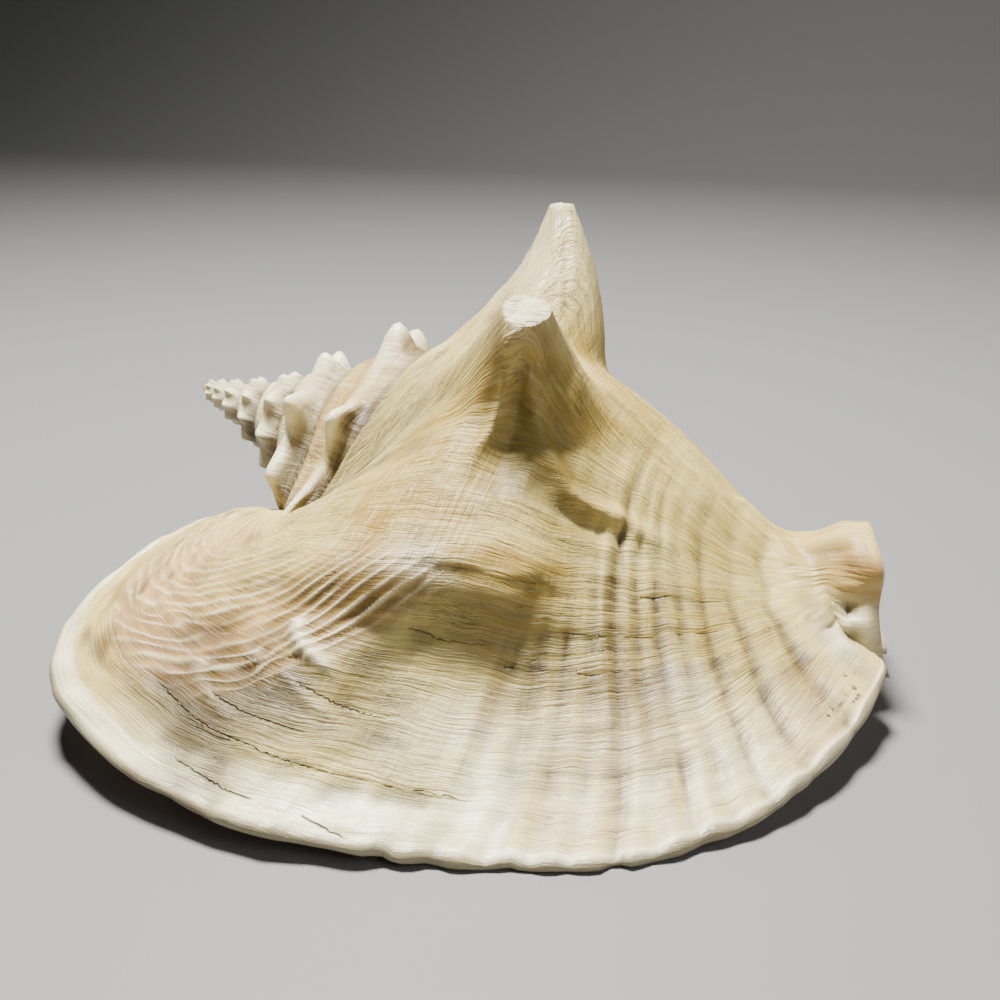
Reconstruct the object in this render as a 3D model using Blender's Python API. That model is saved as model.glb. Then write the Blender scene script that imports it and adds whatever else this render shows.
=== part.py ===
"""Queen conch shell, lying on its aperture.

The shell grows along a spiral about a tilted axis. A place on it is (g, s): g is the growth angle in
degrees, 90 on top and 180 at the front, and s runs from the suture (0) to the rim of the siphonal
canal (1). The last half whorl leaves the spiral as the flared lip, with t from the body (0) to the
lip's edge (1). Shape is worked out in millimetres and placed in metres.
"""

import bmesh
import bpy
import numpy as np

MM = 0.001
APEX = np.array([-117.77, 35.27, 66.9])
TILT = np.radians(14.36)
AXIS = np.array([np.cos(TILT), 0.0, -np.sin(TILT)])
ABOVE = np.array([np.sin(TILT), 0.0, np.cos(TILT)])
BEHIND = np.array([0.0, 1.0, 0.0])

# Growth in whorls (0 at the tall spine), then the shoulder's distance from the apex and its radius
SHOULDER = np.array([
    (-8, 1.6, 1.9), (-7, 3.6, 2.6), (-6, 6.9, 3.7), (-5, 11.7, 5.4), (-4, 19.8, 8.4), (-3, 31.0, 13.2),
    (-2, 44.0, 22.0), (-1.7, 52.0, 30.0), (-1, 65.2, 35.5), (-0.45, 92.0, 38.6), (0, 112.0, 53.0),
    (0.136, 119.0, 57.0), (0.275, 119.0, 61.0), (0.40, 116.0, 64.0)])
SUTURE = np.array([
    (-8, 1.3, 1.5), (-7, 3.1, 2.1), (-6, 6.0, 2.9), (-5, 9.9, 4.2), (-4, 16.4, 6.3), (-3, 25.5, 10.2),
    (-2, 37.3, 16.4), (-1, 53.7, 24.6), (-0.7, 59.5, 32.0), (0, 78.0, 39.5), (0.23, 75.5, 42.0),
    (0.272, 73.5, 43.0), (0.314, 70.0, 44.0), (0.344, 67.0, 44.0)])
SECTION = np.array([-0.04, 0, 0.12, 0.26, 0.34, 0.45, 0.60, 0.75, 0.85, 0.93, 1.0])
NEXT_SUTURE = 0.34

# Growth angle, distance from the apex, height, half width in degrees and in mm, blunt top, lean, bow and
# how fast the flanks fall
SPINES = [
    (70, 105, 53, 25, 27, 0.89, -0.13, 5.0, 1.15), (119, 120.5, 43, 22, 27, 0.65, 0.0, 0.0, 1.6),
    (119, 118, 10, 44, 46, 1.0, 0.0, 0.0, 1.5),
    (20, 104, 27, 21, 24, 0.9, -0.1, 0.0, 1.1), (-22, 97, 18, 18, 20, 0.85, -0.1, 0.0, 1.1),
    (-62, 92, 15.5, 17, 18, 0.85, -0.1, 0.0, 1.1), (-102, 88, 12, 17, 17, 0.8, 0.0, 0.0, 1.1),
    (-142, 84, 4, 16, 15, 0.8, 0.0, 0.0, 1.1)]
# Nodules of the two whorls before the last: growth angle and height
NODULES = [
    (-662, 5.0), (-627, 3.8), (-576, 7.0), (-541, 6.0), (-492, 7.0), (-449, 7.0), (-406, 7.5), (-364, 8.0),
    (-312, 8.5), (-277, 6.5), (-214, 8.5), (-175, 7.0)]
NODULE_STEP = 40.0

# Lip edge: s, then x, y, z from the apex
LIP_EDGE = np.array([
    (0.000, 48, -23, -32), (0.022, 43, -31, -30), (0.045, 34, -38, -28), (0.075, 21, -48, -32),
    (0.105, 12, -72, -38), (0.135, 15, -99, -44), (0.165, 29, -118, -49), (0.200, 57, -132, -54),
    (0.250, 88, -138, -57.6), (0.330, 121, -134, -60.8), (0.430, 146, -127, -64.3), (0.540, 168, -119.5, -65.1),
    (0.620, 183, -113, -65.1), (0.710, 200, -99, -63.3), (0.790, 213, -85.5, -60.6), (0.850, 222, -70, -57.8),
    (0.900, 230, -50, -55), (0.935, 234, -34, -51), (0.948, 235.5, -27, -48), (0.956, 233.5, -22, -48.2),
    (0.964, 229, -19.5, -50.5), (0.973, 228.5, -18, -54.5), (0.986, 232.5, -16, -58), (1.000, 236, -14, -60.5)])
# Lip sheet: s, growth angle where it leaves the body, turn of its start, direction at the edge, pulls
LIP_SHEET = np.array([
    (-0.04, 177, 0.0, -0.5, 0.4, -0.6, 0.6, 0.7), (0.0, 177, 0.0, -0.5, 0.4, -0.6, 0.6, 0.7),
    (0.045, 171, -0.1, -0.7, 0.1, -0.5, 1.0, 0.8), (0.075, 160, -0.2, -0.8, -0.1, -0.5, 1.0, 0.8),
    (0.105, 148, -0.25, -0.9, -0.1, -0.4, 1.0, 0.8), (0.165, 130, -0.25, -0.8, -0.5, -0.4, 1.05, 0.9),
    (0.25, 114, -0.15, -0.35, -0.9, -0.3, 1.1, 0.9), (0.43, 110, 0, -0.05, -1, -0.15, 1.1, 1.0),
    (0.62, 112, 0, 0.1, -1, -0.12, 1.1, 1.0), (0.79, 116, 0, 0.5, -0.85, -0.1, 1.0, 0.9),
    (0.90, 122, 0, 0.8, -0.5, -0.1, 0.9, 0.8), (0.955, 126, 0, 0.9, -0.3, -0.1, 0.9, 0.8),
    (1.0, 130, 0, 0.1, -0.3, -0.9, 0.9, 0.8)])
GROOVES = [0.37, 0.42, 0.47, 0.52, 0.565, 0.617, 0.66, 0.702, 0.75, 0.798, 0.85, 0.90, 0.94]
WALL_BODY = 4.6
WALL_LIP = 3.0
CALLUS = 0.6

# Where the parts of the last whorl begin and end, in growth angle
WALL_START = -112.0
CALLUS_END = -96.0
CORE_END = 80.0
CAVITY_START = 15.0


def ease(x, low, high):
    """0 below low, 1 above high and a smooth step between them."""
    t = np.clip((x - low) / (high - low), 0, 1)
    return t * t * (3 - 2 * t)


def hermite(t, y0, y1, m0, m1):
    """Cubic from y0 to y1 that leaves with the slope m0 and arrives with m1."""
    ends = y0 * (1 + 2 * t) * (1 - t) ** 2 + y1 * t * t * (3 - 2 * t)
    return ends + m0 * t * (1 - t) ** 2 - m1 * t * t * (1 - t)


def through(x, knots, values):
    """Smooth curve through values[..., k] at the knots; the last axis of values goes with the knots."""
    step = np.diff(knots)
    slope = np.diff(values, axis=-1) / step
    m = np.empty_like(values)
    m[..., 1:-1] = (slope[..., :-1] * step[1:] + slope[..., 1:] * step[:-1]) / (step[1:] + step[:-1])
    m[..., 0] = slope[..., 0]
    m[..., -1] = slope[..., -1]
    i = np.clip(np.searchsorted(knots, x) - 1, 0, len(knots) - 2)
    t = (x - knots[i]) / step[i]

    def at(table, k):
        if table.ndim == 1:
            return table[k]
        return np.take_along_axis(table, k[..., None], -1)[..., 0]

    return hermite(t, at(values, i), at(values, i + 1), at(m, i) * step[i], at(m, i + 1) * step[i])


def growth(g, table):
    """Distance from the apex and radius of a line of the spiral, smooth in their logarithms."""
    whorls = (g - 70) / 360
    return [np.exp(through(whorls, table[:, 0], np.log(table[:, k]))) for k in (1, 2)]


def radial(g):
    """Directions straight out from the axis."""
    g = np.radians(np.asarray(g, float))[..., None]
    return np.cos(g) * BEHIND + np.sin(g) * ABOVE


def unit(v):
    return v / (np.linalg.norm(v, axis=-1, keepdims=True) + 1e-12)


def body(g, s):
    """The whorl's plain surface: a profile from suture over shoulder to canal, turned about the axis."""
    g, s = np.broadcast_arrays(np.asarray(g, float), np.asarray(s, float))
    suture_a, suture_r = growth(g, SUTURE)
    a, r = growth(g, SHOULDER)
    next_a, next_r = growth(np.minimum(g + 360, 190), SUTURE)
    next_a = np.maximum(next_a, suture_a + 7 * ease(g, -280, -200))
    last = ease(g, -170, -120)
    front = 1 - np.sin(np.radians(g))
    neck = (r / 53) ** 0.3
    below_a = next_a + (a + 13 - next_a) * last
    below_r = next_r + (0.985 * r - next_r) * last
    a = np.minimum(a, 0.35 * suture_a + 0.65 * below_a)
    along = [0.98 * suture_a, suture_a, suture_a + 0.42 * (a - suture_a), a, below_a]
    out = [0.9 * suture_r, suture_r, suture_r + 0.62 * (r - suture_r), r, below_r]
    base_a = [0.5 * below_a + 75, 153, 172, 189, 204 + 4 * front, 224 + 10 * front]
    deep = 1 + 0.15 * front
    base_r = [0.95 * r, 0.85 * r, 0.66 * r, 0.45 * r / neck, 16.5 * neck * deep, 17.5 * neck * deep]
    grown = ease(g, -640, -290)
    for k in range(6):
        beyond = (SECTION[5 + k] - NEXT_SUTURE) / 0.08
        early_a = below_a + (below_a - a) * beyond
        early_r = below_r + (below_r - r) * beyond
        along.append(early_a + (base_a[k] - early_a) * grown)
        out.append(early_r + (base_r[k] - early_r) * grown)
    a = through(s, SECTION, np.stack(along, -1))[..., None]
    r = through(s, SECTION, np.stack(out, -1))[..., None]
    bend = through(s, SECTION, np.array([0, 0, 0, 0, 0, 0, 1.0, 3.0, 6.0, 10.0, 20.0]))[..., None]
    return APEX + a * AXIS + bend * ABOVE + r * radial(g)


def soft(x, width):
    """x where it is above 0 and 0 below, with a rounded foot."""
    return np.clip(0.5 * (x + np.sqrt(x * x + width * width)) - 0.06 * width, 0, None) * (x > -4 * width)


def spines(points, g):
    """Moves that raise the large spines: blunt cones, each along its own direction."""
    from_apex = points - APEX
    a = from_apex @ AXIS
    turn = np.degrees(np.arctan2(from_apex @ ABOVE, from_apex @ BEHIND))
    g = turn + 360 * np.round((g - turn) / 360)
    move = np.zeros(points.shape)
    for centre, along, height, wide, long, top, lean, bow, fall in SPINES:
        d = np.sqrt(((g - centre) / wide) ** 2 + ((a - along) / long) ** 2)
        share = np.minimum(soft(1 - d, 0.12) ** fall / top, 1)
        rise = height * top * share
        move += rise[..., None] * (radial(centre) + lean * AXIS)
        move += (4 * bow * share * (1 - share))[..., None] * AXIS
    return move


def nodules(g, s):
    """Height of the blunt nodules on the shoulder of the older whorls."""
    g, s = np.broadcast_arrays(g, s)
    r = growth(g, SHOULDER)[1]
    centre = np.round((g + 700) / NODULE_STEP) * NODULE_STEP - 700
    across = (s - 0.255) / np.where(s < 0.255, 0.13, 0.11)
    height = np.where(centre < -690, 0.25 * r * np.exp(-2.9 * np.hypot((g - centre) / 17, across) ** 1.5), 0)
    for centre, rise in NODULES:
        height = np.maximum(height, rise * np.exp(-2.9 * np.hypot((g - centre) / 18, across) ** 1.35))
    return height * ease(s, 0, 0.05) * (1 - ease(s, 0.29, NEXT_SUTURE))


def body_with_spines(g, s):
    """The body with its spines, nodules and the pad that the end of the lip is fixed to."""
    g, s = np.broadcast_arrays(np.asarray(g, float), np.asarray(s, float))
    points = body(g, s)
    clear = ease(s, 0, 0.06)[..., None]
    a = (points - APEX) @ AXIS
    pad = 11 * np.exp(-(((a - 62) / 9) ** 2) - ((g % 360 - 193) / 17) ** 2)
    points = points + pad[..., None] * radial(g)
    return points + clear * spines(points, g) + nodules(g, s)[..., None] * (radial(g) - 0.1 * AXIS)


def lip(t, s):
    """The plain lip: at each s a curve that leaves the body along its growth and meets the edge."""
    sheet = [through(s, LIP_SHEET[:, 0], LIP_SHEET[:, k])[..., None] for k in range(1, 8)]
    start = sheet[0][..., 0]
    p0 = body(start, s)
    along = unit(p0 - body(start - 1, s))
    sideways = unit(body(start, s + 0.005) - body(start, s - 0.005))
    d0 = unit(along + sheet[1] * sideways)
    d1 = unit(np.concatenate(sheet[2:5], -1))
    edge = np.maximum(s, 0)
    p1 = APEX + np.stack([through(edge, LIP_EDGE[:, 0], LIP_EDGE[:, k]) for k in (1, 2, 3)], -1)
    span = np.linalg.norm(p1 - p0, axis=-1, keepdims=True)
    points = hermite(t[..., None], p0, p1, d0 * sheet[5] * span, d1 * sheet[6] * span)
    return points, start + 75 * t


def hump(t, s):
    """Height of the third, low hump: a swell that ends in a ledge, the ridge that runs on from it and the
    hollow beside the ridge."""
    front = t + np.interp(s, [0.25, 0.5, 0.68, 0.78, 0.93, 1.0], [0, 0.03, 0.07, 0.10, 0.19, 0.22])
    across = np.where(s < 0.285, (s - 0.285) / 0.085, (s - 0.285) / 0.20)
    swell = ease(front, 0.05, 0.44) * (1 - ease(front, 0.47, 0.60))
    past = (s - 0.25) / np.where(s < 0.25, 0.07, 0.035)
    ridge = np.exp(-past ** 2) * ease(t, 0.42, 0.55) * (1 - ease(t, 0.62, 0.95))
    hollow = np.exp(-(((s - 0.38) / 0.11) ** 2) - ((t - 0.66) / 0.12) ** 2)
    return 8 * swell * np.exp(-across ** 2) + 5 * ridge - 3 * hollow


def canal_lump(u, s):
    """Height of the thick end of the siphonal canal."""
    return 3.2 * ease(s, 0.95, 0.98) * np.exp(-(((u - 1.0) / 0.22) ** 2))


def ribs(t, s):
    """Height of the broad ribs that fan out to the lip's edge, between the grooves."""
    place = np.interp(s, GROOVES, np.arange(len(GROOVES)))
    crest = 1 - np.abs(np.cos(np.pi * place)) ** 3
    inside = (s > GROOVES[0]) & (s < GROOVES[-1])
    return 0.8 * crest * inside * ease(t, 0.1, 0.6)


def normals(points):
    """Outward normals of a grid of points (growth, s)."""
    return unit(np.cross(np.gradient(points, axis=0), np.gradient(points, axis=1)))


def mesh_object(name, points, faces):
    """A closed mesh: points that coincide are made one and faces that collapse are dropped."""
    mesh = bpy.data.meshes.new(name)
    mesh.from_pydata((points * MM).tolist(), [], faces)
    shape = bmesh.new()
    shape.from_mesh(mesh)
    bmesh.ops.remove_doubles(shape, verts=shape.verts, dist=1e-6)
    bmesh.ops.dissolve_degenerate(shape, edges=shape.edges, dist=1e-7)
    bmesh.ops.triangulate(shape, faces=shape.faces)
    bmesh.ops.recalc_face_normals(shape, faces=shape.faces)
    shape.to_mesh(mesh)
    shape.free()
    mesh.shade_smooth()
    thing = bpy.data.objects.new(name, mesh)
    bpy.context.scene.collection.objects.link(thing)
    return thing


def grid_faces(rows, columns, first=0):
    """Four-sided faces of a grid stored row by row."""
    corners = [first + i * columns + j for i in range(rows - 1) for j in range(columns - 1)]
    return [(c, c + 1, c + columns + 1, c + columns) for c in corners]


def core():
    """The spire and the solid heart of the last whorl, which the cavity winds round."""
    shown = np.array([0, 0.09, 0.18, 0.26, 0.30, NEXT_SUTURE])
    full = np.concatenate([shown, [0.40, 0.48, 0.57, 0.66, 0.76, 0.85, 0.90, 0.945]])
    first = CORE_END - 7 * 360
    turn = np.arange(first, CORE_END - 360 + 1, 10.0)
    spire = body_with_spines(turn[:, None], shown[None, :])
    g = np.arange(CORE_END - 360, CORE_END + 1, 10.0)[:, None]
    last = body_with_spines(g, full[None, :])
    out = normals(last)
    sunk = np.where(g < CALLUS_END - 1, CALLUS * ease(g, -190, -150), -2.4) * (full[None, :] > 0.01)
    last = last + sunk[..., None] * out
    plain = body(g, full[None, :])
    hidden = ease(g, -105, -80)[..., None]
    last = last + (plain - 2.4 * normals(plain) * (full[None, :, None] > 0.01) - last) * hidden
    older = body(g - 360, np.maximum(full, NEXT_SUTURE)[None, :])
    let_go = ease(g, CAVITY_START, CORE_END)[..., None]
    last = last + (older - last) * let_go
    line = body(np.array([[-31.0], [-30.0], [-29.0]]), full[None, :])
    line = (line - 3.0 * normals(line))[1]
    narrow = np.interp(full, [0.85, 0.90, 0.945], [1, 0.74, 0.42])[:, None]
    last = line + (last - line) * narrow
    tip = APEX + np.array([[-0.6, 0, 0]])
    pillar_end = line[-1:] + 14 * AXIS
    points = np.concatenate([spire.reshape(-1, 3), last.reshape(-1, 3), tip, pillar_end])
    base = spire.shape[0] * spire.shape[1]
    faces = grid_faces(*spire.shape[:2]) + grid_faces(*last.shape[:2], base)
    tip_at = len(points) - 2
    faces += [(tip_at, j * len(shown), (j + 1) * len(shown)) for j in range(36)]
    step = len(shown)
    faces += [(tip_at, i, i + 1) for i in range(step - 1)]
    end = base + len(full) - 1
    faces += [(tip_at + 1, end + (j + 1) * len(full), end + j * len(full)) for j in range(36)]
    return mesh_object("core", points, faces)


def wall():
    """The wall of the last whorl with the flared lip, a closed sheet with its own thickness."""
    s = np.concatenate([
        [-0.04, 0, 0.022, 0.045, 0.06, 0.075, 0.09, 0.105, 0.12, 0.135, 0.15, 0.165, 0.182, 0.20],
        [0.218, 0.237, 0.255, 0.275, 0.30, 0.33, 0.37, 0.395, 0.42, 0.445, 0.47, 0.495, 0.52, 0.542],
        [0.565, 0.591, 0.617, 0.638, 0.66, 0.681, 0.702, 0.726, 0.75, 0.774, 0.798, 0.824, 0.85, 0.875],
        [0.90, 0.92, 0.938, 0.95, 0.957, 0.964, 0.972, 0.985, 1.0]])
    wrap = np.concatenate([np.linspace(0, 0.55, 12)[:-1], np.linspace(0.55, 1, 14)[:-1]])
    u = np.concatenate([wrap, 1 + np.linspace(0, 1, 19)])
    u, s = np.meshgrid(u, s, indexing="ij")
    t = np.clip(u - 1, 0, 1)
    flare, flare_g = lip(t, s)
    start = through(s, LIP_SHEET[:, 0], LIP_SHEET[:, 1])
    begin = WALL_START + 28 * ease(s, 0.86, 0.97)
    g = np.where(u < 1, begin + (start - begin) * u, flare_g)
    plain = np.where((u < 1)[..., None], body(np.minimum(g, 190), s), flare)
    plain[:, 0] = plain[:, 1] + 0.7 * (plain[:, 1] - plain[:, 2])
    out = normals(plain)
    out[:, :2] = out[:, 2:3]
    on_lip = 1 - ease(t, 0.15, 0.5)
    outside = plain + spines(plain, g) * (on_lip * ease(s, 0, 0.06))[..., None]
    height = np.where(u > 1, hump(t, s) + ribs(t, s), 0) + canal_lump(u, s)
    rounding = ease(s, 0.98, 1)
    outside = outside + (height - 1.1 * rounding)[..., None] * out
    thick = WALL_BODY + (WALL_LIP - WALL_BODY) * ease(t, 0.1, 0.8)
    thick = thick * (0.3 + 0.7 * ease(s + 0.12 * (1 - t), 0, 0.1))
    thick = thick * (1 - 0.5 * np.exp(-(((s - 0.957) / 0.014) ** 2)) * ease(t, 0.1, 0.5))
    inside = plain - (thick - 1.1 * rounding)[..., None] * out
    rim = 0.5 * (outside[-1] + inside[-1]) + 0.37 * thick[-1][:, None] * unit(outside[-1] - outside[-2])
    keep = np.arange(0, len(outside), 2)
    points = np.concatenate([outside, rim[None], inside[keep[::-1]]])
    rows, columns = points.shape[:2]
    faces = grid_faces(rows, columns)
    skin = len(outside)
    back = {int(k): skin + 1 + n for n, k in enumerate(keep[::-1])}
    for side in (0, columns - 1):
        for low, high in zip(keep[:-1], keep[1:]):
            ring = [k * columns + side for k in range(low, high + 1)]
            ring += [back[high] * columns + side, back[low] * columns + side]
            faces.append(tuple(ring))
        faces.append(((skin - 1) * columns + side, skin * columns + side, (skin + 1) * columns + side))
    faces += [(j, j + 1, (rows - 1) * columns + j + 1, (rows - 1) * columns + j) for j in range(columns - 1)]
    return mesh_object("wall", points.reshape(-1, 3), faces)


def combine(target, other, operation):
    """Joins the other object to the target, or cuts it away, and hides it."""
    step = target.modifiers.new(operation.lower(), "BOOLEAN")
    step.operation = operation
    step.solver = "EXACT"
    step.object = other
    other.hide_render = True
    other.display_type = "WIRE"


def main():
    """Clears the scene, then builds the one piece."""
    for thing in list(bpy.data.objects):
        bpy.data.objects.remove(thing)
    shell = core()
    shell.name = "conch_shell"
    combine(shell, wall(), "UNION")
    corners = np.array([(x, y, z) for x in (-300, 300) for y in (-300, 300) for z in (-100, 0)], float)
    sides = [(0, 1, 3, 2), (4, 6, 7, 5), (0, 4, 5, 1), (2, 3, 7, 6), (0, 2, 6, 4), (1, 5, 7, 3)]
    combine(shell, mesh_object("worn_below", corners, sides), "DIFFERENCE")
    chalk = bpy.data.materials.new("shell")
    chalk.use_nodes = True
    surface = chalk.node_tree.nodes["Principled BSDF"]
    surface.inputs["Base Color"].default_value = (0.80, 0.69, 0.48, 1.0)
    surface.inputs["Roughness"].default_value = 0.45
    shell.data.materials.append(chalk)


main()
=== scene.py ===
"""Queen conch shell lying on its aperture: an old, worn shell, cream outside and porcelain inside.

The shell grows along a spiral about a tilted axis. A place on it is (g, s): g is the growth angle in
degrees, 90 on top and 180 at the front, and s runs from the suture (0) to the rim of the canal (1). On
the last whorl, u runs from 0 where its wall begins, over 1 where the flared lip leaves the spiral, to 2
at the lip's edge. Shape is worked out in millimetres and placed in metres.
"""

import bmesh
import bpy
import numpy as np
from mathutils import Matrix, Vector


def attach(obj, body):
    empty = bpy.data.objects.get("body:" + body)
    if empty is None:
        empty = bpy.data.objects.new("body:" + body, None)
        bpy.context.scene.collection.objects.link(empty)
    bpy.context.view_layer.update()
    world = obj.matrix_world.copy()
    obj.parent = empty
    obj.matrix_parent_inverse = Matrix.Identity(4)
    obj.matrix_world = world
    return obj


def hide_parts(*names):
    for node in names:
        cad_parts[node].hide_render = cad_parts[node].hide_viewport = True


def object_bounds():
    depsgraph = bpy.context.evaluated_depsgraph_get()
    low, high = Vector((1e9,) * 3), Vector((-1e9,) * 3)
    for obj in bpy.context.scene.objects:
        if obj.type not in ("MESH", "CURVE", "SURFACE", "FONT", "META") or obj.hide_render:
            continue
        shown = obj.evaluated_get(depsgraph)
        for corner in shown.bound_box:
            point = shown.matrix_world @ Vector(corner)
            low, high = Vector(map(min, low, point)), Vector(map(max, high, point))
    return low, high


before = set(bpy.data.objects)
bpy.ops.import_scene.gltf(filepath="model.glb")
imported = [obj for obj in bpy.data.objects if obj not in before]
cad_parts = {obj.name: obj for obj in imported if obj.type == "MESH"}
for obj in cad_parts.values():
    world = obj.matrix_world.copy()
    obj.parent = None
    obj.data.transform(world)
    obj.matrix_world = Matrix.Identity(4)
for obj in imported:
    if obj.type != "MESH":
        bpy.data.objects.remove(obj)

CAD_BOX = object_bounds()

MM = 0.001
# The spire's tip in mm, the tilt of the axis, and the directions along the axis, above it and behind it
APEX = np.array([-117.77, 35.27, 66.9])
TILT = np.radians(14.36)
AXIS = np.array([np.cos(TILT), 0.0, -np.sin(TILT)])
ABOVE = np.array([np.sin(TILT), 0.0, np.cos(TILT)])
BEHIND = np.array([0.0, 1.0, 0.0])

# Growth in whorls (0 at the tall spine), then distance from the apex and radius, of shoulder and suture
SHOULDER = np.array([
    (-8, 1.0, 2.5), (-7, 3.1, 3.1), (-6, 6.6, 4.0), (-5, 11.7, 5.5), (-4, 19.8, 8.4), (-3, 31.0, 13.2),
    (-2, 44.0, 22.0), (-1.7, 52.0, 30.0), (-1, 65.2, 35.5), (-0.45, 92.0, 38.6), (0, 112.0, 53.0),
    (0.136, 119.0, 57.0), (0.275, 119.0, 61.0), (0.40, 116.0, 64.0)])
SUTURE = np.array([
    (-8, 0.7, 2.1), (-7, 2.5, 2.6), (-6, 5.6, 3.3), (-5, 9.9, 4.3), (-4, 16.4, 6.3), (-3, 25.5, 10.2),
    (-2, 37.3, 16.4), (-1, 53.7, 24.6), (-0.7, 59.5, 32.0), (0, 78.0, 39.5), (0.23, 75.5, 42.0),
    (0.272, 73.5, 43.0), (0.314, 70.0, 44.0), (0.344, 67.0, 44.0)])
# s of the profile's knots, with the shoulder at 0.26, and s where the next whorl covers the older ones
SECTION = np.array([-0.04, 0, 0.12, 0.26, 0.34, 0.45, 0.60, 0.75, 0.85, 0.93, 1.0])
NEXT_SUTURE = 0.34

# Growth angle, distance from the apex, height, half width in degrees and in mm, blunt top, lean, bow and
# how fast the flanks fall
SPINES = [
    (70, 105, 53, 25, 27, 0.89, -0.13, 5.0, 1.15), (119, 120.5, 43, 22, 27, 0.65, 0.0, 0.0, 1.6),
    (119, 118, 10, 44, 46, 1.0, 0.0, 0.0, 1.5),
    (20, 104, 27, 21, 24, 0.9, -0.1, 0.0, 1.1), (-22, 97, 18, 18, 20, 0.85, -0.1, 0.0, 1.1),
    (-62, 92, 15.5, 17, 18, 0.85, -0.1, 0.0, 1.1), (-102, 88, 12, 17, 17, 0.8, 0.0, 0.0, 1.1),
    (-142, 84, 4, 16, 15, 0.8, 0.0, 0.0, 1.1)]
# Nodules of the two whorls before the last: growth angle and height
NODULES = [
    (-662, 5.0), (-627, 3.8), (-576, 7.0), (-541, 6.0), (-492, 7.0), (-449, 7.0), (-406, 7.5), (-364, 8.0),
    (-312, 8.5), (-277, 6.5), (-214, 8.5), (-175, 7.0)]
# Even spacing in degrees of the first whorls' nodules, and what the later ones' heights are multiplied by
NODULE_STEP = 40.0
NODULE_RISE = 1.42

# Lip edge: s, then x, y, z from the apex
LIP_EDGE = np.array([
    (0.000, 48, -23, -32), (0.022, 43, -31, -30), (0.045, 34, -38, -28), (0.075, 21, -48, -32),
    (0.105, 12, -72, -38), (0.135, 15, -99, -44), (0.165, 29, -118, -49), (0.200, 57, -132, -54),
    (0.250, 88, -138, -57.6), (0.330, 121, -134, -60.8), (0.430, 146, -127, -64.3),
    (0.540, 168, -119.5, -65.1), (0.620, 183, -113, -65.1), (0.710, 200, -99, -63.3),
    (0.790, 213, -85.5, -60.6), (0.850, 222, -70, -57.8), (0.900, 230, -50, -55), (0.935, 234, -34, -51),
    (0.948, 235.5, -27, -48), (0.956, 233.5, -22, -48.2), (0.964, 229, -19.5, -50.5),
    (0.973, 228.5, -18, -54.5), (0.986, 232.5, -16, -58), (1.000, 236, -14, -60.5)])
# Lip sheet: s, growth angle where it leaves the body, turn of its start, direction at the edge, pulls
LIP_SHEET = np.array([
    (-0.04, 177, 0.0, -0.5, 0.4, -0.6, 0.6, 0.7), (0.0, 177, 0.0, -0.5, 0.4, -0.6, 0.6, 0.7),
    (0.045, 171, -0.1, -0.7, 0.1, -0.5, 1.0, 0.8), (0.075, 160, -0.2, -0.8, -0.1, -0.5, 1.0, 0.8),
    (0.105, 148, -0.25, -0.9, -0.1, -0.4, 1.0, 0.8), (0.165, 130, -0.25, -0.8, -0.5, -0.4, 1.05, 0.9),
    (0.25, 114, -0.15, -0.35, -0.9, -0.3, 1.1, 0.9), (0.43, 110, 0, -0.05, -1, -0.15, 1.1, 1.0),
    (0.62, 112, 0, 0.1, -1, -0.12, 1.1, 1.0), (0.79, 116, 0, 0.5, -0.85, -0.1, 1.0, 0.9),
    (0.90, 122, 0, 0.8, -0.5, -0.1, 0.9, 0.8), (0.955, 126, 0, 0.9, -0.3, -0.1, 0.9, 0.8),
    (1.0, 130, 0, 0.1, -0.3, -0.9, 0.9, 0.8)])
# Thickness in mm of the wall on the body and on the lip, and of the callus on the body
WALL_BODY = 4.6
WALL_LIP = 3.0
CALLUS = 0.6
# Rim of the lip: where its rows lie on the half round, and how far it bulges for its half thickness
RIM_TURNS = np.radians([60, 90, 120, 150])
RIM_BULGE = 0.74
# Slant in mm of the canal's end, from its upper to its lower side
CANAL_SLANT = 5.0
# Heights above the resting plane that the pillar's skin and the last whorl's inside keep, so that neither
# lies in the worn flat itself
PILLAR_CLEAR = 0.35
INSIDE_CLEAR = 0.9
# How deep the spire's surface lies where the last whorl covers it, and the line of growth that the pillar
# narrows to, with its depth and the length of its tip
COVERED_DEEP = 2.4
PILLAR_LINE = -30.0
PILLAR_DEEP = 3.0
PILLAR_TIP = 14.0

# Where the parts of the last whorl begin and end, in growth angle
WALL_START = -112.0
CALLUS_END = -96.0
CORE_END = 80.0
CAVITY_START = 15.0

# Colours of the shell's finishes; the brown and the dirt colours also paint shade
CREAM = (0.42, 0.305, 0.065, 1)
PALE_CREAM = (0.70, 0.585, 0.20, 1)
OLD_CREAM = (0.60, 0.50, 0.23, 1)
OLD_PALE = (0.90, 0.84, 0.58, 1)
IVORY = (0.85, 0.75, 0.32, 1)
OCHRE = (0.34, 0.19, 0.012, 1)
# Brown of the stains, also used as painted shade below a spine and the hump's ledge
BROWN_AND_SHADE = (0.10, 0.058, 0.012, 1)
PEACH = (0.66, 0.39, 0.19, 1)
CHALK = (0.95, 0.88, 0.62, 1)
# Dark dirt, also used as painted shade in hollows, creases, sutures and under the rim
DIRT_AND_SHADE = (0.06, 0.043, 0.02, 1)
CLEFT = (0.015, 0.011, 0.007, 1)
PORCELAIN = (0.88, 0.80, 0.68, 1)
ROSE = (0.90, 0.55, 0.42, 1)

# Camera: place in mm from the apex, turn to the right of the lip's side and tilt down in degrees, and lens
CAMERA_PLACE = (235.47, -324.44, 113.52)
CAMERA_TURN = 20.96
CAMERA_DOWN = 22.0
CAMERA_LENS = 41.4
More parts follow.
